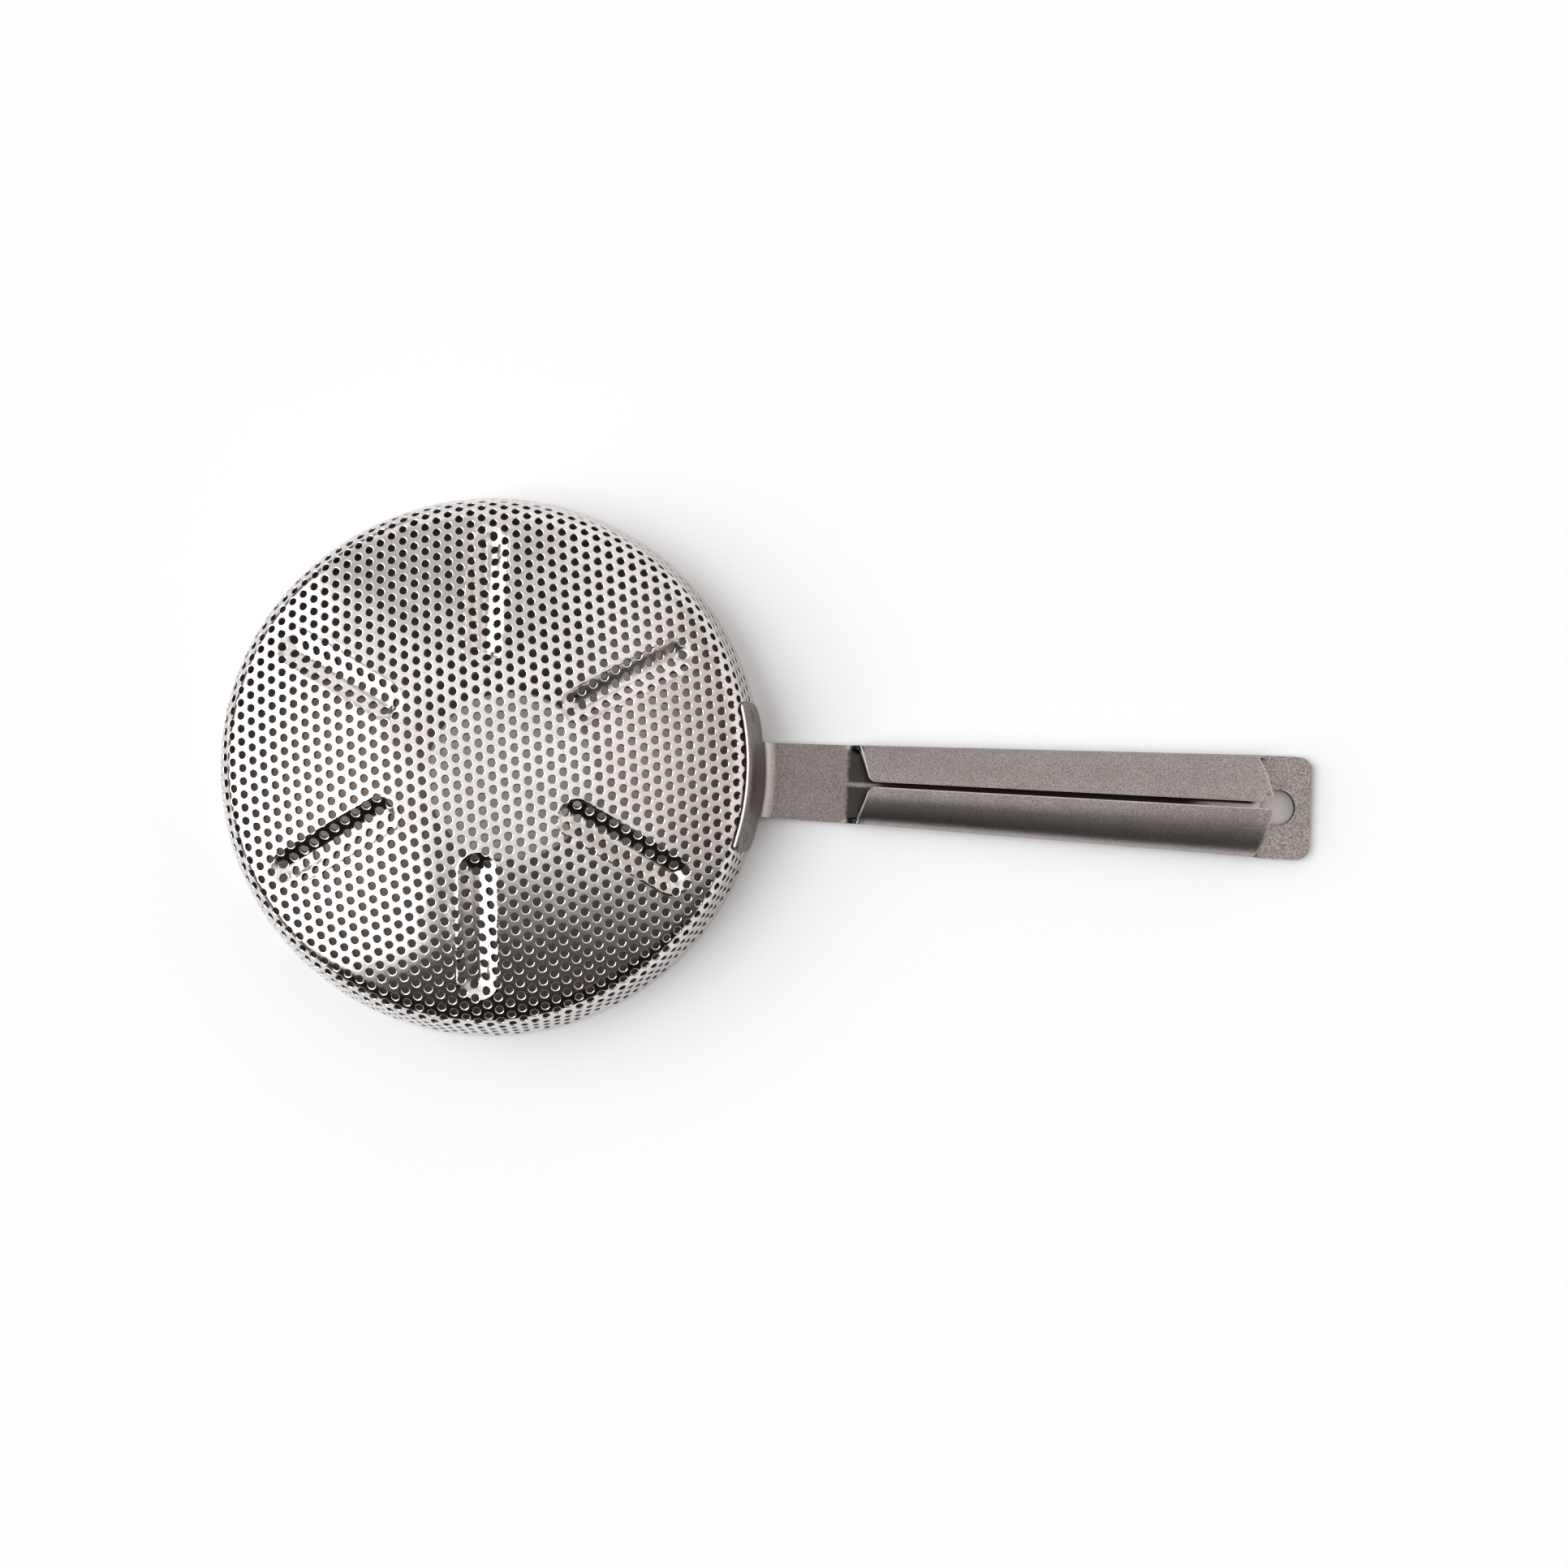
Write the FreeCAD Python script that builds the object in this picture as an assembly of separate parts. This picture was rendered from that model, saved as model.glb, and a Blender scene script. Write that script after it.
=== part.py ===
"""Handled tea infuser basket: a drawn steel bowl with six pressed grooves, and a folded sheet handle.

The bowl lies mouth down, so its mouth is the plane z = 0 and its bottom is the dome on top.
The origin is the centre of the mouth, +Z points up through the dome, and the handle runs along +X.
The handle is one folded sheet: a saddle spot-welded to the bowl's wall, a flat neck, a grip whose
two sides curl over to meet at a slit, and a flat tab with a hanging hole.
The bowl's sheet is solid here: the fine punched holes that cover it all over are left out.
Lengths are in millimetres and angles in degrees.
"""
import FreeCAD, Part
import math
import os
from FreeCAD import Vector

# Bowl
RIM_RADIUS = 41.8          # outside of the wall at the mouth
BOWL_DEPTH = 16.2          # mouth plane to the top of the dome
WALL_SLOPE = 76.0          # wall against the mouth plane
KNUCKLE_RADIUS = 5.0       # outside, between wall and dome
DOME_RADIUS = 115.0        # outside
BOWL_SHEET = 0.6

# Six radial grooves, pressed into the dome from outside
GROOVE_COUNT = 6
GROOVE_PHASE = 32.0        # first groove against the handle
GROOVE_INNER_END = 14.4    # distance of each end from the bowl's axis
GROOVE_OUTER_END = 35.0
GROOVE_RADIUS = 2.2        # of the round channel
GROOVE_DEPTH = 1.2

# Saddle, the end of the handle's sheet that wraps the bowl's wall
HANDLE_SHEET = 0.8
HANDLE_LIFT = 0.3          # underside of the flat sheet above the mouth plane
SADDLE_GAP = 0.05          # between saddle and wall
SADDLE_HALF_WIDTH = 11.4
SADDLE_HALF_TURN = 20.0    # sheet swept about the bowl's axis before its ears are cut out
SADDLE_LOW = 1.7           # lower edge of the saddle's ears
SADDLE_TOP_SLOPE = 51.0    # slope of the knuckle where the saddle ends
EAR_LOW_CORNER = 2.4       # corner radii of the ears
EAR_TOP_CORNER = 1.2
BEND_RADIUS = 1.8          # inside, between saddle and neck

# Flat sheet of the neck and the tab
NECK_HALF_START = 5.8      # half widths
NECK_HALF_END = 6.05
TAB_HALF = 8.05
NECK_START = 45.8          # stations along X
GRIP_START = 56.7
GRIP_END = 118.6
HANDLE_END = 127.75
TAB_CORNER = 2.1
HANG_HOLE_X = 122.5
HANG_HOLE_RADIUS = 2.75

# Grip, the sheet's two curled sides
GRIP_HALF_START = 6.1      # half widths
GRIP_HALF_END = 7.97
FOLD_RADIUS = 1.6          # outside, from the flat sheet into a curled side
FOLD_RUNOUT = 2.0          # length over which a fold flattens out at each end
CURL_HEIGHT_RATIO = 0.51   # height over half width of the oval that the sides follow
SLIT_HALF_START = 0.38     # half the slit between the curled sides
SLIT_HALF_END = 0.5
CURL_START_TURN = (1.45, 1.6)  # where a curled side's edge turns: along X, and from the slit
CURL_START_TIP = 2.2       # how far along X the edge has come at the slit
CURL_END_TURN = (2.0, 1.2)
CURL_END_TIP = 1.2

# Spot welds between saddle and bowl
WELD_HALF_SPAN = 9.2       # each weld from the handle's centre line
WELD_HEIGHT_SLOPE = 69.0   # slope of the knuckle at the welds
NUGGET_RADIUS = 0.75
NUGGET_DEPTH_IN_BOWL = 0.3
ELECTRODE_RADIUS = 0.9
ELECTRODE_DENT = 0.12

CUT_REACH = 4.0            # how far a cutting tool runs past the metal
LAP = 1.4                  # how far stretches of one flat sheet lap before they are fused

AXIS_Z = Vector(0, 0, 1)
ORIGIN = Vector(0, 0, 0)


def wall_direction():
    """Unit vector up the wall and its outward normal, in the plane of radius and height."""
    slope = math.radians(WALL_SLOPE)
    return (-math.cos(slope), math.sin(slope)), (math.sin(slope), math.cos(slope))


def knuckle_centre():
    """Centre of the knuckle arc, tangent to the wall and, from inside, to the dome."""
    (up_r, up_z), (out_r, out_z) = wall_direction()
    start_r = RIM_RADIUS - KNUCKLE_RADIUS * out_r
    start_z = -KNUCKLE_RADIUS * out_z - (BOWL_DEPTH - DOME_RADIUS)
    reach = DOME_RADIUS - KNUCKLE_RADIUS
    half_b = start_r * up_r + start_z * up_z
    c = start_r ** 2 + start_z ** 2 - reach ** 2
    along = -half_b + math.sqrt(half_b ** 2 - c)
    return start_r + along * up_r, start_z + along * up_z + BOWL_DEPTH - DOME_RADIUS


KNUCKLE_R, KNUCKLE_Z = knuckle_centre()
DOME_CENTRE_Z = BOWL_DEPTH - DOME_RADIUS
DOME_EDGE_ANGLE = math.atan2(KNUCKLE_Z - DOME_CENTRE_Z, KNUCKLE_R)
WALL_ANGLE = math.radians(90.0 - WALL_SLOPE)


def ray_point(centre_r, centre_z, distance, angle, turn=0.0):
    """Point at a polar angle about a centre in the meridian plane, turned about Z."""
    radius = centre_r + distance * math.cos(angle)
    height = centre_z + distance * math.sin(angle)
    return Vector(radius * math.cos(turn), radius * math.sin(turn), height)


def wall_foot(offset):
    """Point at the mouth plane on the wall's surface moved outwards by offset."""
    return Vector(RIM_RADIUS + offset / math.sin(math.radians(WALL_SLOPE)), 0, 0)


def arc_edge(centre_r, centre_z, radius, start, end):
    middle = (start + end) / 2
    points = [ray_point(centre_r, centre_z, radius, angle) for angle in (start, middle, end)]
    return Part.Arc(*points).toShape()


def bowl_outline(offset):
    """Edges from the foot of the wall to the top of the dome, moved outwards by offset."""
    knuckle = KNUCKLE_RADIUS + offset
    wall_top = ray_point(KNUCKLE_R, KNUCKLE_Z, knuckle, WALL_ANGLE)
    return [
        Part.makeLine(wall_foot(offset), wall_top),
        arc_edge(KNUCKLE_R, KNUCKLE_Z, knuckle, WALL_ANGLE, DOME_EDGE_ANGLE),
        arc_edge(0, DOME_CENTRE_Z, DOME_RADIUS + offset, DOME_EDGE_ANGLE, math.pi / 2),
    ]


def plain_bowl():
    outer = bowl_outline(0.0)
    inner = bowl_outline(-BOWL_SHEET)
    apex = Part.makeLine(Vector(0, 0, BOWL_DEPTH), Vector(0, 0, BOWL_DEPTH - BOWL_SHEET))
    lip = Part.makeLine(wall_foot(-BOWL_SHEET), wall_foot(0.0))
    section = Part.Face(Part.Wire(Part.__sortEdges__(outer + inner + [apex, lip])))
    return section.revolve(ORIGIN, AXIS_Z, 360)


def groove_capsule(radius, turn):
    """Round-ended channel along a meridian, sunk GROOVE_DEPTH into the dome."""
    reach = DOME_RADIUS + GROOVE_RADIUS - GROOVE_DEPTH
    inner = math.asin((GROOVE_INNER_END + GROOVE_RADIUS) / reach)
    outer = math.asin((GROOVE_OUTER_END - GROOVE_RADIUS) / reach)
    centre = Vector(0, 0, DOME_CENTRE_Z)
    across = Vector(-math.sin(turn), math.cos(turn), 0)
    start = ray_point(0, DOME_CENTRE_Z, reach, math.pi / 2 - inner, turn)
    end = ray_point(0, DOME_CENTRE_Z, reach, math.pi / 2 - outer, turn)
    along = across.cross(start - centre)
    disc = Part.Face(Part.Wire(Part.makeCircle(radius, start, along)))
    channel = disc.revolve(centre, across, math.degrees(outer - inner))
    return channel.fuse([Part.makeSphere(radius, start), Part.makeSphere(radius, end)])


def pressed_bowl():
    """Bowl with its grooves: the sheet goes round each channel at its own thickness."""
    turns = [math.radians(GROOVE_PHASE + 360.0 * k / GROOVE_COUNT) for k in range(GROOVE_COUNT)]
    inside = Part.makeSphere(DOME_RADIUS - BOWL_SHEET / 2, Vector(0, 0, DOME_CENTRE_Z))
    bowl = plain_bowl()
    for turn in turns:
        bead = groove_capsule(GROOVE_RADIUS + BOWL_SHEET, turn).common(inside)
        bowl = bowl.fuse(bead)
    for turn in turns:
        bowl = bowl.cut(groove_capsule(GROOVE_RADIUS, turn))
    return bowl.removeSplitter()


def saddle_band(low_edges):
    """Section of the saddle sheet, revolved: low_edges close it at its lower end."""
    offsets = (SADDLE_GAP, SADDLE_GAP + HANDLE_SHEET)
    top_angle = math.radians(90.0 - SADDLE_TOP_SLOPE)
    wall_tops = [ray_point(KNUCKLE_R, KNUCKLE_Z, KNUCKLE_RADIUS + off, WALL_ANGLE) for off in offsets]
    tops = [ray_point(KNUCKLE_R, KNUCKLE_Z, KNUCKLE_RADIUS + off, top_angle) for off in offsets]
    edges = [arc_edge(KNUCKLE_R, KNUCKLE_Z, KNUCKLE_RADIUS + off, WALL_ANGLE, top_angle) for off in offsets]
    edges.append(Part.makeLine(*tops))
    edges += low_edges(*wall_tops)
    section = Part.Face(Part.Wire(Part.__sortEdges__(edges)))
    section.rotate(ORIGIN, AXIS_Z, -SADDLE_HALF_TURN)
    return section.revolve(ORIGIN, AXIS_Z, 2 * SADDLE_HALF_TURN)


def ear_low_edges(near_top, far_top):
    """The wall-parallel stretch of the saddle, down to the mouth plane."""
    near_foot = wall_foot(SADDLE_GAP)
    far_foot = wall_foot(SADDLE_GAP + HANDLE_SHEET)
    return [Part.makeLine(near_top, near_foot), Part.makeLine(near_foot, far_foot),
            Part.makeLine(far_foot, far_top)]


def neck_low_edges(near_top, far_top):
    """The same stretch with the bend into the flat neck, and a stub of the neck."""
    slope = math.radians(WALL_SLOPE)
    top_z = HANDLE_LIFT + HANDLE_SHEET
    corner_r = wall_foot(SADDLE_GAP + HANDLE_SHEET).x - top_z / math.tan(slope)
    centre_r = corner_r + BEND_RADIUS / math.tan((math.pi - slope) / 2)
    centre_z = top_z + BEND_RADIUS
    start, end = math.pi + WALL_ANGLE, 1.5 * math.pi
    outside = BEND_RADIUS + HANDLE_SHEET
    upper = [ray_point(centre_r, centre_z, BEND_RADIUS, a) for a in (start, end)]
    under = [ray_point(centre_r, centre_z, outside, a) for a in (start, end)]
    stub_top, stub_under = Vector(NECK_START + LAP, 0, top_z), Vector(NECK_START + LAP, 0, HANDLE_LIFT)
    return [
        Part.makeLine(far_top, upper[0]), arc_edge(centre_r, centre_z, BEND_RADIUS, start, end),
        Part.makeLine(upper[1], stub_top), Part.makeLine(stub_top, stub_under),
        Part.makeLine(stub_under, under[1]), arc_edge(centre_r, centre_z, outside, start, end),
        Part.makeLine(under[0], near_top),
    ]


def rounded_outline(corners, radii):
    """Closed wire through corner points, each rounded to its radius."""
    count = len(corners)
    trims = []
    for k in range(count):
        here, before, after = corners[k], corners[k - 1], corners[(k + 1) % count]
        to_before = (before - here).normalize()
        to_after = (after - here).normalize()
        half = to_before.getAngle(to_after) / 2
        cut = radii[k] / math.tan(half)
        bisector = (to_before + to_after).normalize()
        middle = here + bisector * (radii[k] / math.sin(half) - radii[k])
        trims.append((here + to_before * cut, middle, here + to_after * cut))
    edges = []
    for k in range(count):
        start, middle, end = trims[k]
        if radii[k] > 0:
            edges.append(Part.Arc(start, middle, end).toShape())
        edges.append(Part.makeLine(end, trims[(k + 1) % count][0]))
    return Part.Wire(edges)


def saddle_top():
    """Height of the saddle's upper edge, on its outer face."""
    angle = math.radians(90.0 - SADDLE_TOP_SLOPE)
    return KNUCKLE_Z + (KNUCKLE_RADIUS + SADDLE_GAP + HANDLE_SHEET) * math.sin(angle)


def saddle():
    """The two ears on the bowl's wall and the bend into the neck."""
    inside, length = KNUCKLE_R - CUT_REACH, NECK_START + LAP + CUT_REACH - KNUCKLE_R + CUT_REACH
    half, low, top = SADDLE_HALF_WIDTH, SADDLE_LOW, saddle_top()
    corners = [Vector(inside, -half, low), Vector(inside, half, low),
               Vector(inside, half, top), Vector(inside, -half, top)]
    radii = [EAR_LOW_CORNER, EAR_LOW_CORNER, EAR_TOP_CORNER, EAR_TOP_CORNER]
    outline = Part.Face(rounded_outline(corners, radii))
    ears = saddle_band(ear_low_edges).common(outline.extrude(Vector(length, 0, 0)))
    neck_box = Part.makeBox(length, 2 * NECK_HALF_START, top, Vector(inside, -NECK_HALF_START, 0))
    return ears.fuse(saddle_band(neck_low_edges).common(neck_box))


def flat_sheet(corners, radii):
    lifted = [Vector(x, y, HANDLE_LIFT) for x, y in corners]
    return Part.Face(rounded_outline(lifted, radii)).extrude(Vector(0, 0, HANDLE_SHEET))


def neck():
    end = GRIP_START - FOLD_RUNOUT
    corners = [(NECK_START, -NECK_HALF_START), (end, -NECK_HALF_END),
               (end, NECK_HALF_END), (NECK_START, NECK_HALF_START)]
    return flat_sheet(corners, [0, 0, 0, 0])


def tab():
    start = GRIP_END + FOLD_RUNOUT
    corners = [(start, -TAB_HALF), (HANDLE_END, -TAB_HALF), (HANDLE_END, TAB_HALF), (start, TAB_HALF)]
    return flat_sheet(corners, [0, TAB_CORNER, TAB_CORNER, 0])


def along_grip(x, at_start, at_end):
    """A size that grows evenly from one end of the grip to the other."""
    share = (x - GRIP_START) / (GRIP_END - GRIP_START)
    return at_start + share * (at_end - at_start)


def grip_half(x):
    return along_grip(x, GRIP_HALF_START, GRIP_HALF_END)


def curl_edges(x, side, inset):
    """Flat bottom, fold and oval curl of one side of the grip, inset from its outer face."""
    width = grip_half(x) - inset
    rise = grip_half(x) * CURL_HEIGHT_RATIO - inset
    fold = FOLD_RADIUS - inset
    fold_y = grip_half(x) - FOLD_RADIUS
    centre_z = HANDLE_LIFT + FOLD_RADIUS
    sweep = math.acos(along_grip(x, SLIT_HALF_START, SLIT_HALF_END) / width)
    bottom = Part.makeLine(Vector(x, 0, centre_z - fold), Vector(x, side * fold_y, centre_z - fold))
    turn = [Vector(x, side * (fold_y + fold * math.sin(a)), centre_z - fold * math.cos(a))
            for a in (0.0, math.pi / 4, math.pi / 2)]
    centre = Vector(x, 0, centre_z)
    oval = Part.Ellipse(Vector(x, side * width, centre_z), Vector(x, 0, centre_z + rise), centre)
    tip = Vector(x, side * width * math.cos(sweep), centre_z + rise * math.sin(sweep))
    ends = sorted((oval.parameter(turn[2]) % (2 * math.pi), oval.parameter(tip) % (2 * math.pi)))
    if ends[1] - ends[0] > math.pi:
        ends = [ends[1] - 2 * math.pi, ends[0]]
    return [bottom, Part.Arc(*turn).toShape(), oval.toShape(*ends)], tip


def grip_section(x):
    edges = []
    for side in (-1, 1):
        outer, outer_tip = curl_edges(x, side, 0.0)
        inner, inner_tip = curl_edges(x, side, HANDLE_SHEET)
        edges += outer + inner + [Part.makeLine(outer_tip, inner_tip)]
    return Part.Wire(Part.__sortEdges__(edges))


def curl_end_trim(x, turn, tip, direction):
    """Tool over one end of the curled sides, whose edge slants from the fold to the slit."""
    far = x - direction * 2 * CUT_REACH
    turn_x, turn_y = turn
    edge_y = grip_half(x)
    tools = []
    for side in (-1, 1):
        corners = [(far, edge_y + CUT_REACH), (x, edge_y + CUT_REACH), (x, edge_y),
                   (x + turn_x, turn_y), (x + tip, 0.0), (far, 0.0)]
        points = [Vector(px, side * py, HANDLE_LIFT + HANDLE_SHEET) for px, py in corners]
        outline = Part.makePolygon(points + [points[0]])
        tools.append(Part.Face(outline).extrude(Vector(0, 0, 2 * CUT_REACH)))
    return tools[0].fuse(tools[1])


def grip():
    """Oval grip: the sheet's two sides, curled over the middle up to the slit."""
    sections = [grip_section(GRIP_START), grip_section(GRIP_END + FOLD_RUNOUT + LAP)]
    tube = Part.makeLoft(sections, True, True)
    start_trim = curl_end_trim(GRIP_START, CURL_START_TURN, CURL_START_TIP, 1)
    end_trim = curl_end_trim(GRIP_END, CURL_END_TURN, CURL_END_TIP, -1)
    return tube.cut(start_trim).cut(end_trim)


def fold_section(x, side):
    """Section of a fold where the grip begins or ends: a quarter turn of the sheet."""
    fold_y, centre_z = grip_half(x) - FOLD_RADIUS, HANDLE_LIFT + FOLD_RADIUS
    arcs = []
    for radius in (FOLD_RADIUS, FOLD_RADIUS - HANDLE_SHEET):
        points = [Vector(x, side * (fold_y + radius * math.sin(a)), centre_z - radius * math.cos(a))
                  for a in (0.0, math.pi / 4, math.pi / 2)]
        arcs.append(points)
    outer, inner = arcs
    return Part.Wire([Part.Arc(*outer).toShape(), Part.makeLine(outer[2], inner[2]),
                      Part.Arc(*reversed(inner)).toShape(), Part.makeLine(inner[0], outer[0])])


def flat_section(x, inner_y, outer_y):
    """Section of the flat strip that a fold runs out into."""
    low, high = HANDLE_LIFT, HANDLE_LIFT + HANDLE_SHEET
    corners = [Vector(x, inner_y, low), Vector(x, outer_y, low),
               Vector(x, outer_y, high), Vector(x, inner_y, high)]
    return Part.makePolygon(corners + [corners[0]])


def fold_runouts():
    """Both ends of both folds flatten out into the neck and the tab, beside a flat middle."""
    shapes = []
    for x, away, half in ((GRIP_START, -1, NECK_HALF_END), (GRIP_END, 1, TAB_HALF)):
        fold_y, flat_x = grip_half(x) - FOLD_RADIUS, x + away * FOLD_RUNOUT
        for side in (-1, 1):
            sections = [flat_section(flat_x, side * fold_y, side * half), fold_section(x, side)]
            shapes.append(Part.makeLoft(sections, True, True))
        low_x, high_x = sorted((x, flat_x))
        corners = [(low_x, -fold_y), (high_x, -fold_y), (high_x, fold_y), (low_x, fold_y)]
        shapes.append(flat_sheet(corners, [0, 0, 0, 0]))
    return shapes


def hanging_hole():
    return Part.makeCylinder(HANG_HOLE_RADIUS, 2 * CUT_REACH, Vector(HANG_HOLE_X, 0, -CUT_REACH))


def weld_frames():
    """Point on the bowl's outer surface and outward normal, for each spot weld."""
    angle = math.radians(90.0 - WELD_HEIGHT_SLOPE)
    radius = KNUCKLE_R + KNUCKLE_RADIUS * math.cos(angle)
    frames = []
    for side in (-1, 1):
        turn = side * math.asin(WELD_HALF_SPAN / radius)
        normal = Vector(math.cos(angle) * math.cos(turn), math.cos(angle) * math.sin(turn), math.sin(angle))
        frames.append((ray_point(KNUCKLE_R, KNUCKLE_Z, KNUCKLE_RADIUS, angle, turn), normal))
    return frames


def weld_nuggets():
    """Fused metal of each weld, from the electrode's dent into the bowl's sheet."""
    length = NUGGET_DEPTH_IN_BOWL + SADDLE_GAP + HANDLE_SHEET - ELECTRODE_DENT
    return [Part.makeCylinder(NUGGET_RADIUS, length, point - normal * NUGGET_DEPTH_IN_BOWL, normal)
            for point, normal in weld_frames()]


def electrode_dents():
    depth = SADDLE_GAP + HANDLE_SHEET - ELECTRODE_DENT
    return [Part.makeCylinder(ELECTRODE_RADIUS, CUT_REACH, point + normal * depth, normal)
            for point, normal in weld_frames()]


def handle():
    """The whole folded sheet as one solid."""
    sheet = saddle().fuse([neck(), grip(), tab()] + fold_runouts()).removeSplitter()
    tools = [hanging_hole()] + electrode_dents() + weld_nuggets()
    return sheet.cut(tools).removeSplitter()


def basket():
    """Pressed bowl, with room in its sheet for the weld nuggets."""
    return pressed_bowl().cut(weld_nuggets())


def export(node, shape):
    shape.exportStep(os.path.join("parts", node + ".step"))


def main():
    os.makedirs("parts", exist_ok=True)
    export("handle", handle())
    export("spot_welds", Part.makeCompound(weld_nuggets()))
    export("basket", basket())


if __name__ == "__main__":
    main()
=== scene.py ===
"""Looks of the handled tea infuser: a perforated, polished steel bowl and a tumbled steel handle.

Lengths are in millimetres in the part's own frame until a mesh is made, then in metres.
Angles are in radians, except where a comment says otherwise, and colours are linear.
The bowl lies mouth down on z = 0, its axis is Z, and the handle runs along +X.
"""
import functools
import math

import bmesh
import bpy
import numpy as np
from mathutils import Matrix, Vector

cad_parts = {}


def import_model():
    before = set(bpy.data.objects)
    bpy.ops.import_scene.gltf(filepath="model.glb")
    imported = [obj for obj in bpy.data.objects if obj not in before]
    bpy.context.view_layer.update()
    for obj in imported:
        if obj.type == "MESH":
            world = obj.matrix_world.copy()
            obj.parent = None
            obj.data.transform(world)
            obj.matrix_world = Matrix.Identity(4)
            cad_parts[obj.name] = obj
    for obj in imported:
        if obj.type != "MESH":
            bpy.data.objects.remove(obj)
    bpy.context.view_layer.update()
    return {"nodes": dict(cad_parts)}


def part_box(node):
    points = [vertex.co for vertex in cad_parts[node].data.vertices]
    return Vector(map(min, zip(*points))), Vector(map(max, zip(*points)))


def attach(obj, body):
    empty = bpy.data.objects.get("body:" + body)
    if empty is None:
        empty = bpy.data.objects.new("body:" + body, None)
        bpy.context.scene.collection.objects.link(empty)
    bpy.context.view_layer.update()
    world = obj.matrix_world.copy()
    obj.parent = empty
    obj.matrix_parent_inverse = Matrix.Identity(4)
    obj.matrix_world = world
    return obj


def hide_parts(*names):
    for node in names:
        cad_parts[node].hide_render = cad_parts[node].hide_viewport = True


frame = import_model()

MM = 0.001
BASKET_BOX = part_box("basket")
HANDLE_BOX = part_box("handle")

# Bowl, as designed
RIM_RADIUS = BASKET_BOX[1].x / MM
BOWL_DEPTH = BASKET_BOX[1].z / MM
WALL_SLOPE = math.radians(76.0)
KNUCKLE_RADIUS = 5.0
DOME_RADIUS = 115.0
BOWL_SHEET = 0.6
GROOVE_TURNS = [math.radians(32.0 + 60.0 * k) for k in range(6)]
GROOVE_START = 16.6        # centres of the groove's round ends, from the bowl's axis
GROOVE_END = 32.8
GROOVE_DEPTH = 1.2
GROOVE_HALF_WIDTH = 3.0    # out to where the sheet is undisturbed
RIPPLE_DEPTH = 0.05        # waves that drawing and pressing leave in the dome
RIPPLE_LENGTHS = (5.0, 14.0)
RIPPLE_COUNT = 14
RIPPLE_SEED = 11
RIPPLE_SHIFT = 0.6         # keeps the waves on the inner side of the drawn shape
RIPPLE_END = math.radians(50.0)    # slope at which the waves are gone
RIPPLE_FADE = math.radians(30.0)
NORMAL_STEP = 0.05         # on the blank, between the places that give a normal

# Punched holes, on a lattice of the flat blank
PITCH = 2.0
HOLE_RADIUS = 0.58
EDGE_WIDTH = 0.18          # rolled edge on the outer side
EDGE_DEPTH = 0.12
EDGE_TILT = math.radians(60.0)
LATTICE_TURN = math.radians(36.8)
LATTICE_SHIFT = (-0.04, 0.34)
DRAW_STRETCH = 1.6         # exponent: how the blank stretched down the wall as it was gathered in
RIM_MARGIN = 1.3           # plain border under the lowest hole centres
CELL_POINTS = 12
LIP_STEPS = 6
PROFILE_STEP = 0.02
SAME_CORNER = 1e-4         # corners of cells closer than this are one

# Handle sheet, as designed
HANDLE_SHEET = 0.8
HANDLE_LIFT = HANDLE_BOX[0].z / MM
SADDLE_GAP = 0.05
SADDLE_HALF = 11.4
SADDLE_LOW = 1.7
SADDLE_TOP_ANGLE = math.radians(39.0)
TOP_ROUNDING = 0.5         # length over which the saddle's top edge is rounded off
TOP_EDGE = 0.36            # thickness left at that edge
EAR_TOP_CORNER = 1.2
EAR_LOW_CORNER = 2.4
BEND_RADIUS = 1.8
NECK_HALF_START = 5.8
NECK_HALF_END = 6.05
GRIP_START = 56.7
GRIP_END = 118.6
GRIP_HALF_START = 6.1
GRIP_HALF_END = 7.97
FOLD_RADIUS = 1.6
FOLD_RUNOUT = 2.0
CURL_RATIO = 0.51
CURL_START = (1.7, 0.9)    # slant of a curled side's end from fold to slit, and its corner's radius
CURL_END = (2.3, 1.2)
SLIT_HALF_START = 0.38
SLIT_HALF_END = 0.5
TAB_HALF = 8.05
TAB_CORNER = 2.1
HANDLE_END = HANDLE_BOX[1].x / MM
HANG_HOLE_X = 122.5
HANG_HOLE_RADIUS = 2.75
WELD_HALF_SPAN = 9.2
WELD_ANGLE = math.radians(21.0)
DENT_DEPTH = 0.10          # electrode's dent at each weld, and the ring raised round it
DENT_RADIUS = 0.7
DENT_SOFTNESS = 0.08
DENT_LEAST = 1e-4          # anything shallower is left out
RING_HEIGHT = 0.04
RING_RADIUS = 0.9
RING_WIDTH = 0.14
BEVEL_WIDTH = 0.16         # at most: the fine grid beside an edge makes it narrower
BEVEL_ANGLE = math.radians(40.0)
BEVEL_SEGMENTS = 2
EDGE_SLOT = 1

# Steps of the handle's grids
FLOOR_STEPS = 28
MARGIN_STEPS = 8
TOP_SHARE = 0.12           # part of the saddle below its top edge that has a finer grid
TOP_STEPS = 10
SADDLE_STEPS = 30
EAR_STEPS = 16
EAR_CORNER_STEPS = 14
BEND_STEPS = 10
NECK_STEPS = 22
GRIP_STEPS = 110
FOLD_STEPS = 8
RUNOUT_STEPS = 6
CURL_STEPS = 26
CURL_CROWDING = 1.5        # exponent: rows of a curled side lie closer together towards the slit
TAB_SIDE_STEPS = 12
TAB_CORNER_STEPS = 8
TAB_END_STEPS = 24
TAB_STEPS = 8
KEYS_PER_MM = 2000         # points that round to the same key are one vertex

# Relief and painted shade by place
INSIDE = 0.65              # from a curled side's outer face to where it counts as its inner one
PUCKER_REACH = 5.0         # from a groove's middle line
LINE_START, LINE_TOP, LINE_END = 2.5, 2.85, 3.3    # raised line round a groove, from its middle line
# near black, for painted shade on the handle and for the darkest part of the sky
NEAR_BLACK = (0.012, 0.010, 0.010, 1)

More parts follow.
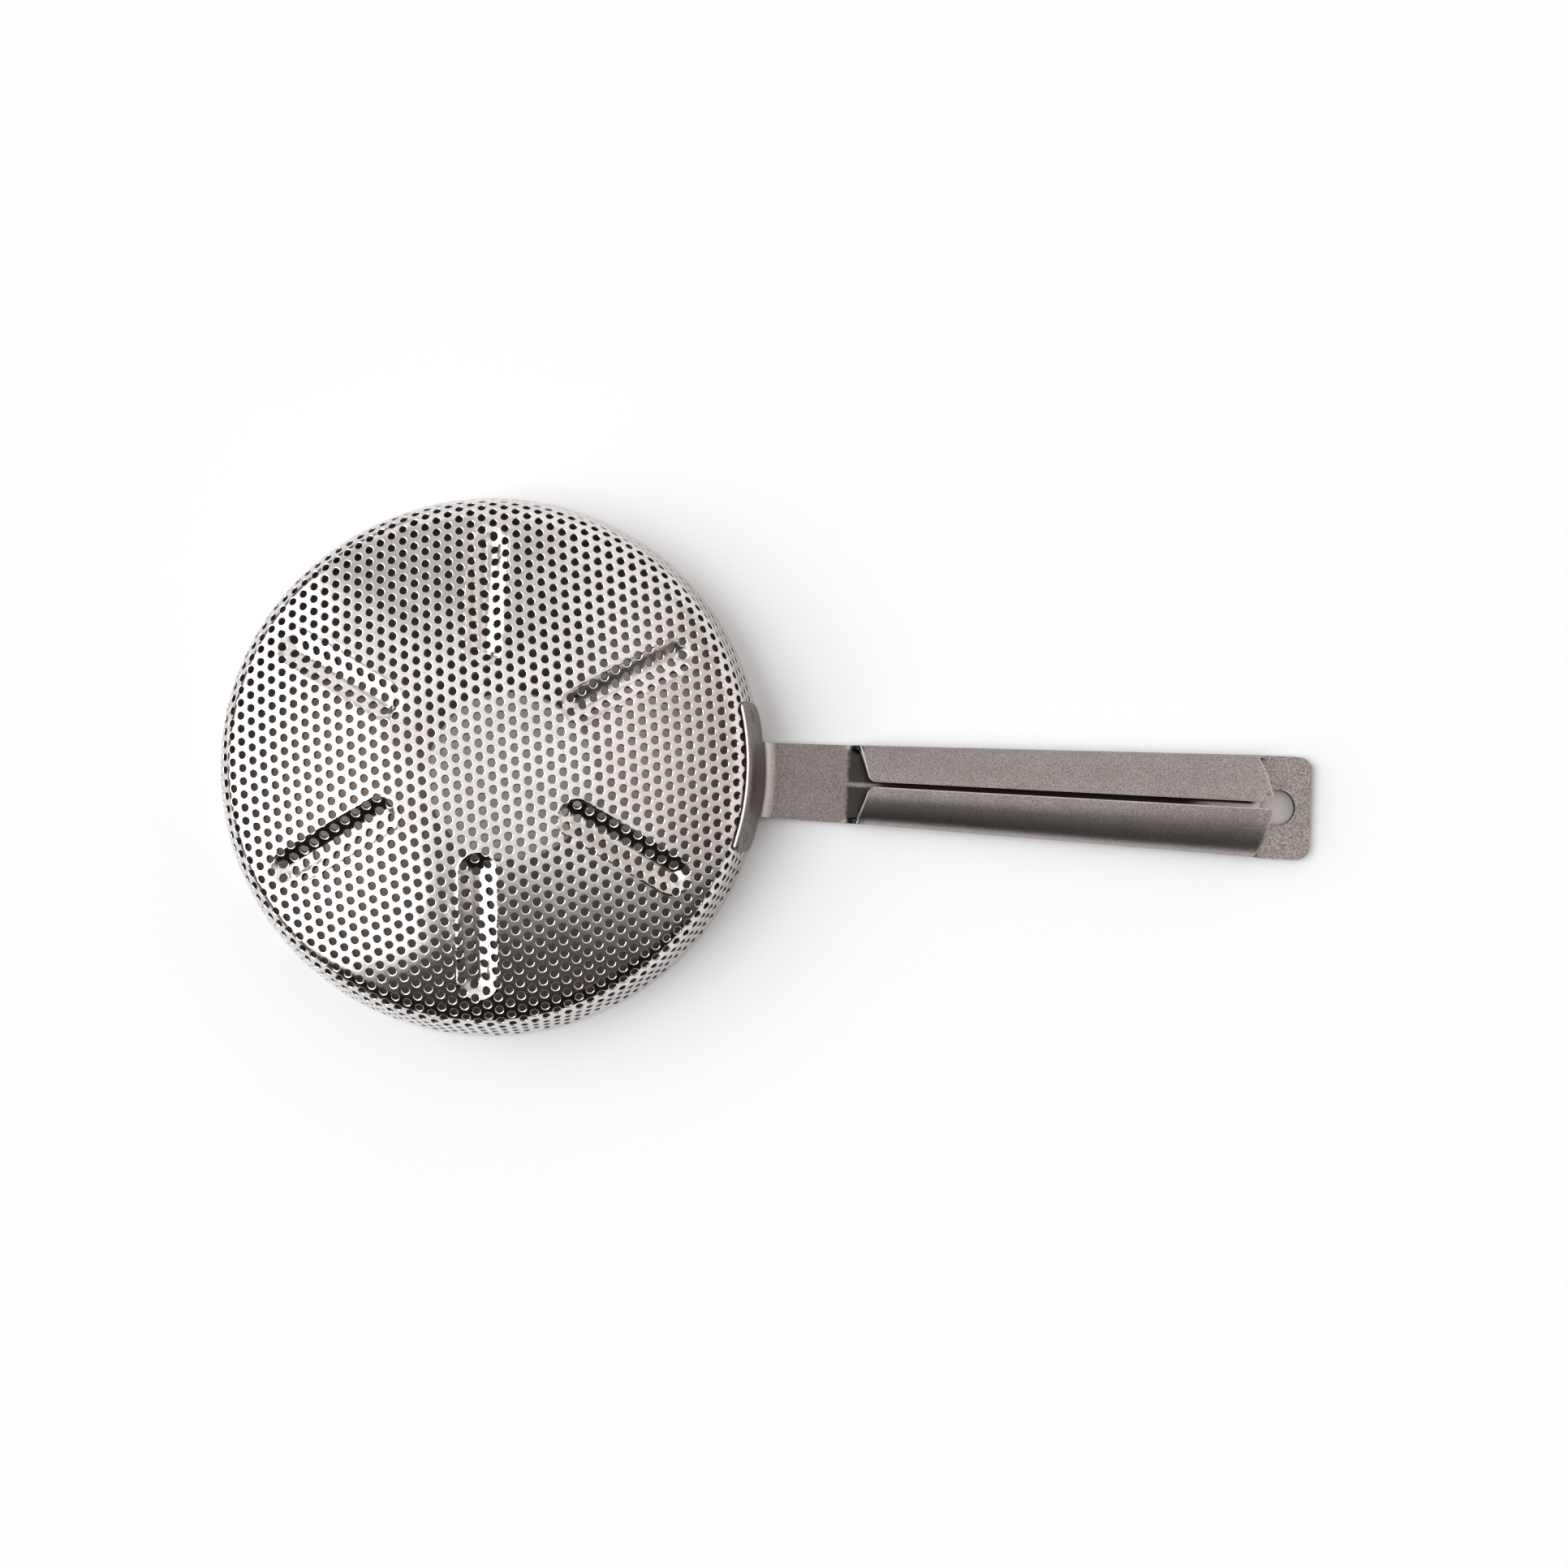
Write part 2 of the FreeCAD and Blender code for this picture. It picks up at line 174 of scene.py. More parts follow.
# Stage
CAMERA_LENS = 45.47
CAMERA_PLACE = (36.83, -15.65, 307.93)
CAMERA_TURN = (2.740, -1.727, 3.008)    # degrees
FLOOR_HALF = 4.0           # metres
FLOOR_COLOUR = (0.694, 0.708, 0.724, 1)
BACKDROP_COLOUR = (0.93, 0.93, 0.93, 1)


def knuckle():
    """Radius and height of the knuckle's centre, and the length of the straight wall below it."""
    out_r, out_z = math.sin(WALL_SLOPE), math.cos(WALL_SLOPE)
    foot_r = RIM_RADIUS - KNUCKLE_RADIUS * out_r
    foot_z = DOME_RADIUS - BOWL_DEPTH - KNUCKLE_RADIUS * out_z
    half_b = foot_z * out_r - foot_r * out_z
    c = foot_r ** 2 + foot_z ** 2 - (DOME_RADIUS - KNUCKLE_RADIUS) ** 2
    wall = math.sqrt(half_b ** 2 - c) - half_b
    return foot_r - wall * out_z, -KNUCKLE_RADIUS * out_z + wall * out_r, wall


KNUCKLE_R, KNUCKLE_Z, WALL_LENGTH = knuckle()
DOME_EDGE_SLOPE = math.asin(KNUCKLE_R / (DOME_RADIUS - KNUCKLE_RADIUS))
WALL_ANGLE = math.pi / 2 - WALL_SLOPE


def bowl_profile():
    """Samples down the bowl's outside: arc length, radius, height, slope and radius on the flat blank."""
    dome = DOME_RADIUS * DOME_EDGE_SLOPE
    turn = WALL_SLOPE - DOME_EDGE_SLOPE
    arc = np.arange(0.0, dome + KNUCKLE_RADIUS * turn + WALL_LENGTH, PROFILE_STEP)
    slope = np.minimum(arc / DOME_RADIUS, DOME_EDGE_SLOPE)
    slope = slope + np.clip((arc - dome) / KNUCKLE_RADIUS, 0, turn)
    middle = (slope[1:] + slope[:-1]) / 2
    radius = np.r_[0, np.cumsum(np.cos(middle)) * PROFILE_STEP]
    height = BOWL_DEPTH - np.r_[0, np.cumsum(np.sin(middle)) * PROFILE_STEP]
    power = DRAW_STRETCH + 1
    blank = (power * np.cumsum(radius ** DRAW_STRETCH) * PROFILE_STEP) ** (1 / power)
    return arc, radius, height, slope, blank


ARC, RADIUS, HEIGHT, SLOPE, BLANK = bowl_profile()


def groove_sink(x, y):
    """How far the grooves push the dome's sheet inwards at a place seen from above."""
    sink = np.zeros_like(x)
    for turn in GROOVE_TURNS:
        along = x * math.cos(turn) + y * math.sin(turn)
        across = y * math.cos(turn) - x * math.sin(turn)
        beyond = along - np.clip(along, GROOVE_START, GROOVE_END)
        share = np.minimum(np.hypot(beyond, across) / GROOVE_HALF_WIDTH, 1.0)
        sink = np.maximum(sink, GROOVE_DEPTH * (0.5 + 0.5 * np.cos(math.pi * share)))
    return sink


def ripple_waves():
    """Fixed set of wave vectors and phases."""
    chance = np.random.default_rng(RIPPLE_SEED)
    turns = chance.uniform(0, 2 * math.pi, RIPPLE_COUNT)
    lengths = chance.uniform(*RIPPLE_LENGTHS, RIPPLE_COUNT)
    phases = chance.uniform(0, 2 * math.pi, RIPPLE_COUNT)
    number = 2 * math.pi / lengths
    return number * np.cos(turns), number * np.sin(turns), phases


RIPPLES = ripple_waves()


def ripple_sink(x, y, slope):
    """Slight unevenness of the dome, always inwards, gone where the wall starts."""
    wave_x, wave_y, phases = RIPPLES
    waves = np.sin(np.outer(x, wave_x) + np.outer(y, wave_y) + phases).mean(axis=1)
    fade = np.clip((RIPPLE_END - slope) / RIPPLE_FADE, 0.0, 1.0)
    return RIPPLE_DEPTH * (RIPPLE_SHIFT + waves) * fade


def bowl_point(flat):
    """Points on the bowl's outside for places on the flat blank."""
    distance = np.hypot(flat[:, 0], flat[:, 1])
    arc = np.interp(distance, BLANK, ARC)
    radius, height, slope = (np.interp(arc, ARC, column) for column in (RADIUS, HEIGHT, SLOPE))
    way = flat / np.maximum(distance, 1e-9)[:, None]
    normal = np.c_[way * np.sin(slope)[:, None], np.cos(slope)]
    point = np.c_[way * radius[:, None], height]
    sink = groove_sink(point[:, 0], point[:, 1]) + ripple_sink(point[:, 0], point[:, 1], slope)
    return point - normal * sink[:, None]


def unit(vectors):
    return vectors / np.linalg.norm(vectors, axis=1)[:, None]


def bowl_normal(flat):
    """Outward normals for places on the flat blank."""
    ahead = bowl_point(flat + (NORMAL_STEP, 0)) - bowl_point(flat - (NORMAL_STEP, 0))
    aside = bowl_point(flat + (0, NORMAL_STEP)) - bowl_point(flat - (0, NORMAL_STEP))
    return unit(np.cross(ahead, aside))


def lattice_cells():
    """Centres of the blank's cells, which of them are punched, and the directions of a cell's points."""
    turns = (LATTICE_TURN, LATTICE_TURN + math.pi / 3)
    row, next_row = (PITCH * np.array([math.cos(turn), math.sin(turn)]) for turn in turns)
    reach = int(1.2 * BLANK[-1] / PITCH) + 2
    counts = range(-reach, reach + 1)
    i, j = (a.ravel()[:, None] for a in np.meshgrid(counts, counts))
    centres = i * row + j * next_row + np.array(LATTICE_SHIFT)
    distance = np.hypot(centres[:, 0], centres[:, 1])
    near = distance < BLANK[-1] + PITCH
    lowest = np.interp(ARC[-1] - RIM_MARGIN, ARC, BLANK)
    angles = LATTICE_TURN + np.arange(CELL_POINTS) * 2 * math.pi / CELL_POINTS
    return centres[near], distance[near] < lowest, np.c_[np.cos(angles), np.sin(angles)]


def clip_to_circle(polygons, flat, limit):
    """Cuts polygons of the blank at a circle. Returns those kept, all places and the new ones' numbers."""
    inside = np.hypot(flat[:, 0], flat[:, 1]) <= limit
    places, cuts, kept = list(flat), {}, []

    def cut_place(a, b):
        key = (min(a, b), max(a, b))
        if key not in cuts:
            start, step = flat[a], flat[b] - flat[a]
            along, square = start @ step, step @ step
            root = math.sqrt(along ** 2 - square * (start @ start - limit ** 2))
            crossings = [(-along + sign * root) / square for sign in (-1, 1)]
            share = next(s for s in crossings if 0 <= s <= 1)
            cuts[key] = len(places)
            places.append(start + share * step)
        return cuts[key]

    for polygon in polygons:
        held = [inside[v] for v in polygon]
        if all(held):
            kept.append(polygon)
        elif any(held):
            trimmed = []
            for k, a in enumerate(polygon):
                b = polygon[(k + 1) % len(polygon)]
                if inside[a]:
                    trimmed.append(a)
                if inside[a] != inside[b]:
                    trimmed.append(cut_place(a, b))
            kept.append(trimmed)
    return kept, np.array(places), sorted(cuts.values())


def land_polygons(cell_points, punched, rings, centres):
    """The sheet between the holes: quads round each hole, and a fan over each unpunched cell."""
    polygons = []
    for cell, points in enumerate(cell_points):
        for k in range(CELL_POINTS):
            after = (k + 1) % CELL_POINTS
            if punched[cell]:
                ring = rings[cell]
                polygons.append([ring[k], points[k], points[after], ring[after]])
            else:
                polygons.append([centres[cell], points[k], points[after]])
    return polygons


def sheet_side(ring_radius):
    """One side of the blank: its places, land polygons, hole rings and the cuts along the lip."""
    centres, punched, ways = lattice_cells()
    reach = np.where(np.arange(CELL_POINTS) % 2 == 0, PITCH / 2, PITCH / math.sqrt(3))
    corners = (centres[:, None, :] + ways * reach[:, None]).reshape(-1, 2)
    keys = np.round(corners / SAME_CORNER).astype(int)
    _, first, number = np.unique(keys, axis=0, return_index=True, return_inverse=True)
    shared = corners[first]
    ring_places = (centres[:, None, :] + ways * ring_radius).reshape(-1, 2)
    flat = np.r_[shared, centres, ring_places]
    centre_numbers = len(shared) + np.arange(len(centres))
    ring_numbers = len(shared) + len(centres) + np.arange(len(ring_places)).reshape(-1, CELL_POINTS)
    polygons = land_polygons(number.reshape(-1, CELL_POINTS), punched, ring_numbers, centre_numbers)
    lip = (BOWL_SHEET / 2) * (1 + math.cos(WALL_SLOPE)) / math.sin(WALL_SLOPE)
    limit = np.interp(ARC[-1] - lip, ARC, BLANK)
    kept, flat, cuts = clip_to_circle(polygons, flat, limit)
    cuts = sorted(cuts, key=lambda v: math.atan2(flat[v][1], flat[v][0]))
    return flat, kept, ring_numbers[punched], cuts


class MeshParts:
    """Collects vertices, faces and a normal for each corner of each face."""

    def __init__(self):
        self.points, self.faces, self.slots, self.normals, self.count = [], [], [], [], 0

    def add_points(self, points):
        start = self.count
        self.points.append(np.asarray(points))
        self.count += len(points)
        return start + np.arange(len(points))

    def add_faces(self, faces, normal_of, slot=0):
        """normal_of holds a normal for each vertex number that the faces use."""
        self.faces += faces
        self.slots += [slot] * len(faces)
        self.normals += [normal_of[v] for face in faces for v in face]

    def mesh(self, name):
        used = np.unique(np.concatenate([np.array(face) for face in self.faces]))
        number = np.zeros(self.count, int)
        number[used] = np.arange(len(used))
        faces = [number[face].tolist() for face in self.faces]
        mesh = bpy.data.meshes.new(name)
        mesh.from_pydata((np.concatenate(self.points)[used] * MM).tolist(), [], faces)
        mesh.polygons.foreach_set("use_smooth", [True] * len(mesh.polygons))
        mesh.polygons.foreach_set("material_index", self.slots)
        mesh.normals_split_custom_set(self.normals)
        return mesh


def ring_quads(upper, lower):
    """Quads between two matching closed rows of vertex numbers."""
    count = len(upper)
    return [[upper[k], upper[(k + 1) % count], lower[(k + 1) % count], lower[k]] for k in range(count)]


def basket_mesh():
    """The whole perforated sheet: outside, inside, hole walls with their rolled edge, and the lip."""
    parts = MeshParts()
    flat_out, land_out, rings_out, cuts_out = sheet_side(HOLE_RADIUS + EDGE_WIDTH)
    flat_in, land_in, rings_in, cuts_in = sheet_side(HOLE_RADIUS)
    normal_out, normal_in = bowl_normal(flat_out), bowl_normal(flat_in)
    parts.add_points(bowl_point(flat_out))
    inside = parts.add_points(bowl_point(flat_in) - normal_in * BOWL_SHEET)
    parts.add_faces(land_out, normal_out)
    start = int(inside[0])
    shifted = [[v + start for v in reversed(face)] for face in land_in]
    inner_normals = np.r_[np.zeros((start, 3)), -normal_in]
    parts.add_faces(shifted, inner_normals, 1)
    add_hole_walls(parts, flat_in, normal_out, normal_in, rings_out, rings_in, start)
    add_lip(parts, flat_out, normal_out, cuts_out, [v + start for v in cuts_in])
    return parts.mesh("basket_sheet")


def add_hole_walls(parts, flat_in, normal_out, normal_in, rings_out, rings_in, start):
    """Rolled edge and wall of every hole; start is the number of the inner side's first point."""
    edge_flat = flat_in[rings_in.ravel()]
    edge_normal = normal_in[rings_in.ravel()]
    edge = parts.add_points(bowl_point(edge_flat) - edge_normal * EDGE_DEPTH)
    rim = bowl_point(edge_flat).reshape(-1, CELL_POINTS, 3)
    inward = unit((rim.mean(axis=1, keepdims=True) - rim).reshape(-1, 3))
    rolled = np.zeros((parts.count, 3))
    rolled[:len(normal_out)] = normal_out
    rolled[edge] = edge_normal * math.cos(EDGE_TILT) + inward * math.sin(EDGE_TILT)
    straight = np.zeros((parts.count, 3))
    straight[edge] = inward
    straight[start + rings_in.ravel()] = inward
    edge = edge.reshape(-1, CELL_POINTS)
    edges, walls = [], []
    for outer, middle, inner in zip(rings_out.tolist(), edge.tolist(), (rings_in + start).tolist()):
        edges += ring_quads(outer, middle)
        walls += ring_quads(middle, inner)
    parts.add_faces(edges, rolled)
    parts.add_faces(walls, straight, 1)


def add_lip(parts, flat, normals, cuts_out, cuts_in):
    """Full round edge that joins the bowl's two sides at the mouth."""
    centre = flat[cuts_out]
    out = normals[cuts_out]
    point = bowl_point(centre)
    sideways = np.c_[-centre[:, 1], centre[:, 0], np.zeros(len(centre))]
    down = unit(np.cross(sideways, out))
    down *= -np.sign(down[:, 2:3])
    half = BOWL_SHEET / 2
    middle = point - out * half
    rows, row_normals = [np.array(cuts_out)], [out]
    for step in range(1, LIP_STEPS):
        angle = math.pi * step / LIP_STEPS
        facing = out * math.cos(angle) + down * math.sin(angle)
        rows.append(parts.add_points(middle + facing * half))
        row_normals.append(facing)
    rows.append(np.array(cuts_in))
    row_normals.append(-out)
    lookup = np.zeros((parts.count, 3))
    for row, facing in zip(rows, row_normals):
        lookup[row] = facing
    faces = []
    for upper, lower in zip(rows, rows[1:]):
        faces += ring_quads(lower.tolist(), upper.tolist())
    parts.add_faces(faces, lookup)


def piece(name, mesh, node, slot, *materials):
    """Links a mesh as a piece that stands for a CAD node."""
    made = bpy.data.objects.new(name, mesh)
    bpy.context.scene.collection.objects.link(made)
    for material in materials:
        made.data.materials.append(material)
    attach(made, "root")
    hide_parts(node)
    return made


# ---------------------------------------------------------------- handle

def bend_centre():
    """Radius and height of the centre of the bend between saddle and neck."""
    top = HANDLE_LIFT + HANDLE_SHEET
    foot = RIM_RADIUS + (SADDLE_GAP + HANDLE_SHEET) / math.sin(WALL_SLOPE)
    corner = foot - top / math.tan(WALL_SLOPE)
    return corner + BEND_RADIUS / math.tan((math.pi - WALL_SLOPE) / 2), top + BEND_RADIUS


BEND_R, BEND_Z = bend_centre()
SADDLE_RADIUS = KNUCKLE_RADIUS + SADDLE_GAP
SADDLE_ARC = SADDLE_RADIUS * (SADDLE_TOP_ANGLE - WALL_ANGLE)
SADDLE_WALL = (KNUCKLE_Z + SADDLE_RADIUS * math.sin(WALL_ANGLE) - SADDLE_LOW) / math.sin(WALL_SLOPE)
SADDLE_LENGTH = SADDLE_ARC + SADDLE_WALL


def around(centre_r, centre_z, distance, angle):
    """The place at a distance from a centre, at an angle from the first axis to the second."""
    return centre_r + distance * math.cos(angle), centre_z + distance * math.sin(angle)


def saddle_profile(down, offset):
    """Radius and height on the saddle, a length down from its top edge, offset off the bowl's side."""
    distance = SADDLE_RADIUS + offset
    if down < SADDLE_ARC:
        return around(KNUCKLE_R, KNUCKLE_Z, distance, SADDLE_TOP_ANGLE - down / SADDLE_RADIUS)
    top = around(KNUCKLE_R, KNUCKLE_Z, distance, WALL_ANGLE)
    end = around(BEND_R, BEND_Z, BEND_RADIUS + HANDLE_SHEET - offset, math.pi + WALL_ANGLE)
    share = (down - SADDLE_ARC) / SADDLE_WALL
    return top[0] + share * (end[0] - top[0]), top[1] + share * (end[1] - top[1])


def weld_middle():
    """Middle of the weld on the +Y side, on the saddle's outer face."""
    radius, height = around(KNUCKLE_R, KNUCKLE_Z, SADDLE_RADIUS + HANDLE_SHEET, WELD_ANGLE)
    return math.sqrt(radius ** 2 - WELD_HALF_SPAN ** 2), WELD_HALF_SPAN, height


def weld_dent(point, offset):
    """Depth of the electrode's dent in the saddle's outer face, with the ring it raises."""
    if offset == 0:
        return 0.0
    distance = math.dist((point[0], abs(point[1]), point[2]), weld_middle())
    dent = DENT_DEPTH / (1 + math.exp((distance - DENT_RADIUS) / DENT_SOFTNESS))
    ring = RING_HEIGHT * math.exp(-((distance - RING_RADIUS) / RING_WIDTH) ** 2)
    return dent - ring


def turned(radius, y, height):
    """Where the profile's radius and height come to lie at y, once turned about the bowl's axis."""
    return math.sqrt(radius ** 2 - y ** 2), y, height


def on_saddle(down, y, offset):
    radius, height = saddle_profile(down, offset)
    point = turned(radius, y, height)
    dent = weld_dent(point, offset)
    if abs(dent) < DENT_LEAST:
        return point
    radius, height = saddle_profile(down, offset - dent)
    return turned(radius, y, height)


def on_bend(share, y, offset):
    angle = math.pi + WALL_ANGLE + share * (math.pi / 2 - WALL_ANGLE)
    radius, height = around(BEND_R, BEND_Z, BEND_RADIUS + HANDLE_SHEET - offset, angle)
    return turned(radius, y, height)


def on_neck(share, y, offset):
    """y is at the neck's start. The neck widens evenly, outside the lines where the folds will begin."""
    start = math.sqrt(BEND_R ** 2 - y ** 2)
    end = GRIP_START - FOLD_RUNOUT
    inner, y_end = GRIP_HALF_START - FOLD_RADIUS, y
    if abs(y) > inner:
        widen = (NECK_HALF_END - inner) / (NECK_HALF_START - inner)
        y_end = math.copysign(inner + (abs(y) - inner) * widen, y)
    return start + share * (end - start), y + share * (y_end - y), HANDLE_LIFT + offset


def along_grip(x, start, end):
    """A measure that changes evenly between the grip's ends."""
    share = (x - GRIP_START) / (GRIP_END - GRIP_START)
    return start + share * (end - start)


def grip_half(x):
    return along_grip(x, GRIP_HALF_START, GRIP_HALF_END)


def on_grip_floor(x, across, offset):
    """across runs from -1 to 1 between the two folds."""
    held = min(max(x, GRIP_START), GRIP_END)
    return x, across * (grip_half(held) - FOLD_RADIUS), HANDLE_LIFT + offset


def on_fold(x, side, share, offset):
    angle = share * math.pi / 2
    fold = FOLD_RADIUS - offset
    y = grip_half(x) - FOLD_RADIUS + fold * math.sin(angle)
    return x, side * y, HANDLE_LIFT + FOLD_RADIUS - fold * math.cos(angle)


def on_runout(end, along, side, share, offset):
    """Fold that flattens out beyond the grip: along is 0 at the grip and 1 where the sheet is flat."""
    x, half = (GRIP_START, NECK_HALF_END) if end < 0 else (GRIP_END, TAB_HALF)
    _, fold_y, fold_z = on_fold(x, side, share, offset)
    inner = grip_half(x) - FOLD_RADIUS
    flat_y, flat_z = side * (inner + share * (half - inner)), HANDLE_LIFT + offset
    y, z = fold_y + along * (flat_y - fold_y), fold_z + along * (flat_z - fold_z)
    return x + end * along * FOLD_RUNOUT, y, z


def curl_end(start, near_slit, slant, corner, inward):
    """Where a curled end lies along X at a share of the half width from the slit."""
    reach = slant * (1 - near_slit)
    gap = near_slit * GRIP_HALF_START
    if gap < corner:
        reach += inward * (corner - math.sqrt(corner ** 2 - (corner - gap) ** 2))
    return start + reach


def on_curl(along, side, share, offset):
    """Oval side of the grip: along is 0 to 1 between its ends, share 0 to 1 from the fold to the slit."""
    bias = 1 - (1 - share) ** CURL_CROWDING
    near_slit = math.cos(bias * math.pi / 2)
    first = curl_end(GRIP_START, near_slit, *CURL_START, 1)
    last = curl_end(GRIP_END, near_slit, *CURL_END, -1)
    x = first + along * (last - first)
    half = grip_half(x)
    slit_half = along_grip(x, SLIT_HALF_START, SLIT_HALF_END)
    sweep = bias * math.acos(slit_half / (half - offset))
    y = (half - offset) * math.cos(sweep)
    return x, side * y, HANDLE_LIFT + FOLD_RADIUS + (half * CURL_RATIO - offset) * math.sin(sweep)


class SheetPatches:
    """Grids on a sheet's near face, joined where their edges meet, each point with its far partner."""

    def __init__(self):
        self.number, self.near, self.far, self.faces = {}, [], [], []

    def vertex(self, near, far):
        key = tuple(round(c * KEYS_PER_MM) for c in near)
        if key not in self.number:
            self.number[key] = len(self.near)
            self.near.append(near)
            self.far.append(far)
        return self.number[key]

    def grid(self, rows, columns, place):
        """place(row, column, offset) gives a point; rows and columns are lists of values."""
        numbers = [[self.vertex(place(row, column, 0.0), place(row, column, HANDLE_SHEET))
                    for column in columns] for row in rows]
        for upper, lower in zip(numbers, numbers[1:]):
            for k in range(len(columns) - 1):
                self.faces.append([upper[k], upper[k + 1], lower[k + 1], lower[k]])

    def solid(self, name):
        """Mesh with both faces of the sheet, closed along its free edges."""
        mesh = bmesh.new()
        near = [mesh.verts.new(Vector(p) * MM) for p in self.near]
        far = [mesh.verts.new(Vector(p) * MM) for p in self.far]
        edge_uses = {}
        for face in self.faces:
            corners = [v for k, v in enumerate(face) if v != face[k - 1]]
            if len(corners) < 3:
                continue
            mesh.faces.new([near[v] for v in reversed(corners)])
            mesh.faces.new([far[v] for v in corners])
            for k, v in enumerate(corners):
                edge = (corners[k - 1], v)
                edge_uses.setdefault(tuple(sorted(edge)), []).append(edge)
        for uses in edge_uses.values():
            if len(uses) == 1:
                a, b = uses[0]
                mesh.faces.new([near[a], near[b], far[b], far[a]])
        bmesh.ops.recalc_face_normals(mesh, faces=mesh.faces)
        made = bpy.data.meshes.new(name)
        mesh.to_mesh(made)
        mesh.free()
        made.polygons.foreach_set("use_smooth", [True] * len(made.polygons))
        return made


def spread(start, end, count):
    """Values from start to end in even steps."""
    return [start + (end - start) * k / count for k in range(count + 1)]


def shares(count):
    return spread(0.0, 1.0, count)


FLOOR_COLUMNS = spread(-1.0, 1.0, FLOOR_STEPS)


def ear_columns():
    """Places across one ear, closer together where its corners are rounded."""
    corner = SADDLE_HALF - EAR_LOW_CORNER
    angles = spread(0.0, math.pi / 2, EAR_CORNER_STEPS)[1:]
    rounded = [corner + EAR_LOW_CORNER * math.sin(angle) for angle in angles]
    return spread(NECK_HALF_START, corner, EAR_STEPS) + rounded


def corner_drop(y, radius):
    """How far a rounded corner has drawn an ear's edge back at y."""
    beyond = max(y - (SADDLE_HALF - radius), 0.0)
    return radius - math.sqrt(max(radius ** 2 - beyond ** 2, 0.0))


def rounded_off(down, offset):
    """Thickness of the sheet near the saddle's top edge, whose outer corner is rounded off."""
    if offset == 0.0 or down >= TOP_ROUNDING:
        return offset
    lost = 1.0 - math.sqrt(1.0 - (1.0 - down / TOP_ROUNDING) ** 2)
    return offset - (HANDLE_SHEET - TOP_EDGE) * lost


def on_ear(share, y, offset):
    """share runs from the saddle's top edge to its low one."""
    top = corner_drop(abs(y), EAR_TOP_CORNER)
    low = SADDLE_LENGTH - corner_drop(abs(y), EAR_LOW_CORNER)
    down = share * (low - top)
    return on_saddle(top + down, y, rounded_off(down, offset))


def tab_corner(middle_y, first_angle):
    """Points round a corner of the tab, clockwise, without the first."""
    angles = [first_angle - k * math.pi / 2 / TAB_CORNER_STEPS for k in range(1, TAB_CORNER_STEPS + 1)]
    return [around(HANDLE_END - TAB_CORNER, middle_y, TAB_CORNER, angle) for angle in angles]


def tab_outline():
    """Open outline of the tab, starting with the edge that the grip's floor meets."""
    left, right = GRIP_END + FOLD_RUNOUT, HANDLE_END - TAB_CORNER
    inner = grip_half(GRIP_END) - FOLD_RADIUS
    middle = TAB_HALF - TAB_CORNER
    points = [(GRIP_END, inner * across) for across in FLOOR_COLUMNS]
    points += [(x, inner) for x in spread(GRIP_END, left, RUNOUT_STEPS)[1:]]
    points += [(left, y) for y in spread(inner, TAB_HALF, FOLD_STEPS)[1:]]
    points += [(x, TAB_HALF) for x in spread(left, right, TAB_SIDE_STEPS)[1:]]
    points += tab_corner(middle, math.pi / 2)
    points += [(HANDLE_END, y) for y in spread(middle, -middle, TAB_END_STEPS)[1:]]
    points += tab_corner(-middle, 0.0)
    points += [(x, -TAB_HALF) for x in spread(right, left, TAB_SIDE_STEPS)[1:]]
    points += [(left, y) for y in spread(-TAB_HALF, -inner, FOLD_STEPS)[1:]]
    points += [(x, -inner) for x in spread(left, GRIP_END, RUNOUT_STEPS)[1:-1]]
    return points


def on_tab(share, corner, offset):
    """share runs from the hanging hole to a corner of the outline."""
    dx, dy = corner[0] - HANG_HOLE_X, corner[1]
    reach = math.hypot(dx, dy)
    distance = HANG_HOLE_RADIUS + share * (reach - HANG_HOLE_RADIUS)
    return HANG_HOLE_X + dx * distance / reach, dy * distance / reach, HANDLE_LIFT + offset


def handle_mesh():
    """The whole folded sheet, from the saddle to the tab."""
    sheet = SheetPatches()
    inner = GRIP_HALF_START - FOLD_RADIUS
    margin = spread(inner, NECK_HALF_START, MARGIN_STEPS)[1:]
    across = [-y for y in reversed(margin)] + [inner * a for a in FLOOR_COLUMNS] + margin
    downs = spread(0.0, TOP_SHARE, TOP_STEPS) + spread(TOP_SHARE, 1.0, SADDLE_STEPS)[1:]
    sheet.grid(downs, across, on_ear)
    for side in (-1, 1):
        sheet.grid(downs, [side * y for y in ear_columns()], on_ear)
    sheet.grid(shares(BEND_STEPS), across, on_bend)
    sheet.grid(shares(NECK_STEPS), across, on_neck)
    stations = spread(GRIP_START, GRIP_END, GRIP_STEPS)
    flat_before = spread(GRIP_START - FOLD_RUNOUT, GRIP_START, RUNOUT_STEPS)[:-1]
    sheet.grid(flat_before + stations, FLOOR_COLUMNS, on_grip_floor)
    for side in (-1, 1):
        sheet.grid(stations, shares(FOLD_STEPS),
                   lambda x, share, offset: on_fold(x, side, share, offset))
        sheet.grid(shares(GRIP_STEPS), shares(CURL_STEPS),
                   lambda along, share, offset: on_curl(along, side, share, offset))
        for end in (-1, 1):
            sheet.grid(shares(RUNOUT_STEPS), shares(FOLD_STEPS),
                       lambda along, share, offset: on_runout(end, along, side, share, offset))
    outline = tab_outline()
    sheet.grid(shares(TAB_STEPS), outline + outline[:1], on_tab)
    return sheet.solid("handle_sheet")


def soften_edges(made):
    bevel = made.modifiers.new("edges", "BEVEL")
    bevel.width = BEVEL_WIDTH * MM
    bevel.segments = BEVEL_SEGMENTS
    bevel.limit_method = "ANGLE"
    bevel.angle_limit = BEVEL_ANGLE
    bevel.harden_normals = True
    bevel.material = EDGE_SLOT


# ---------------------------------------------------------------- materials

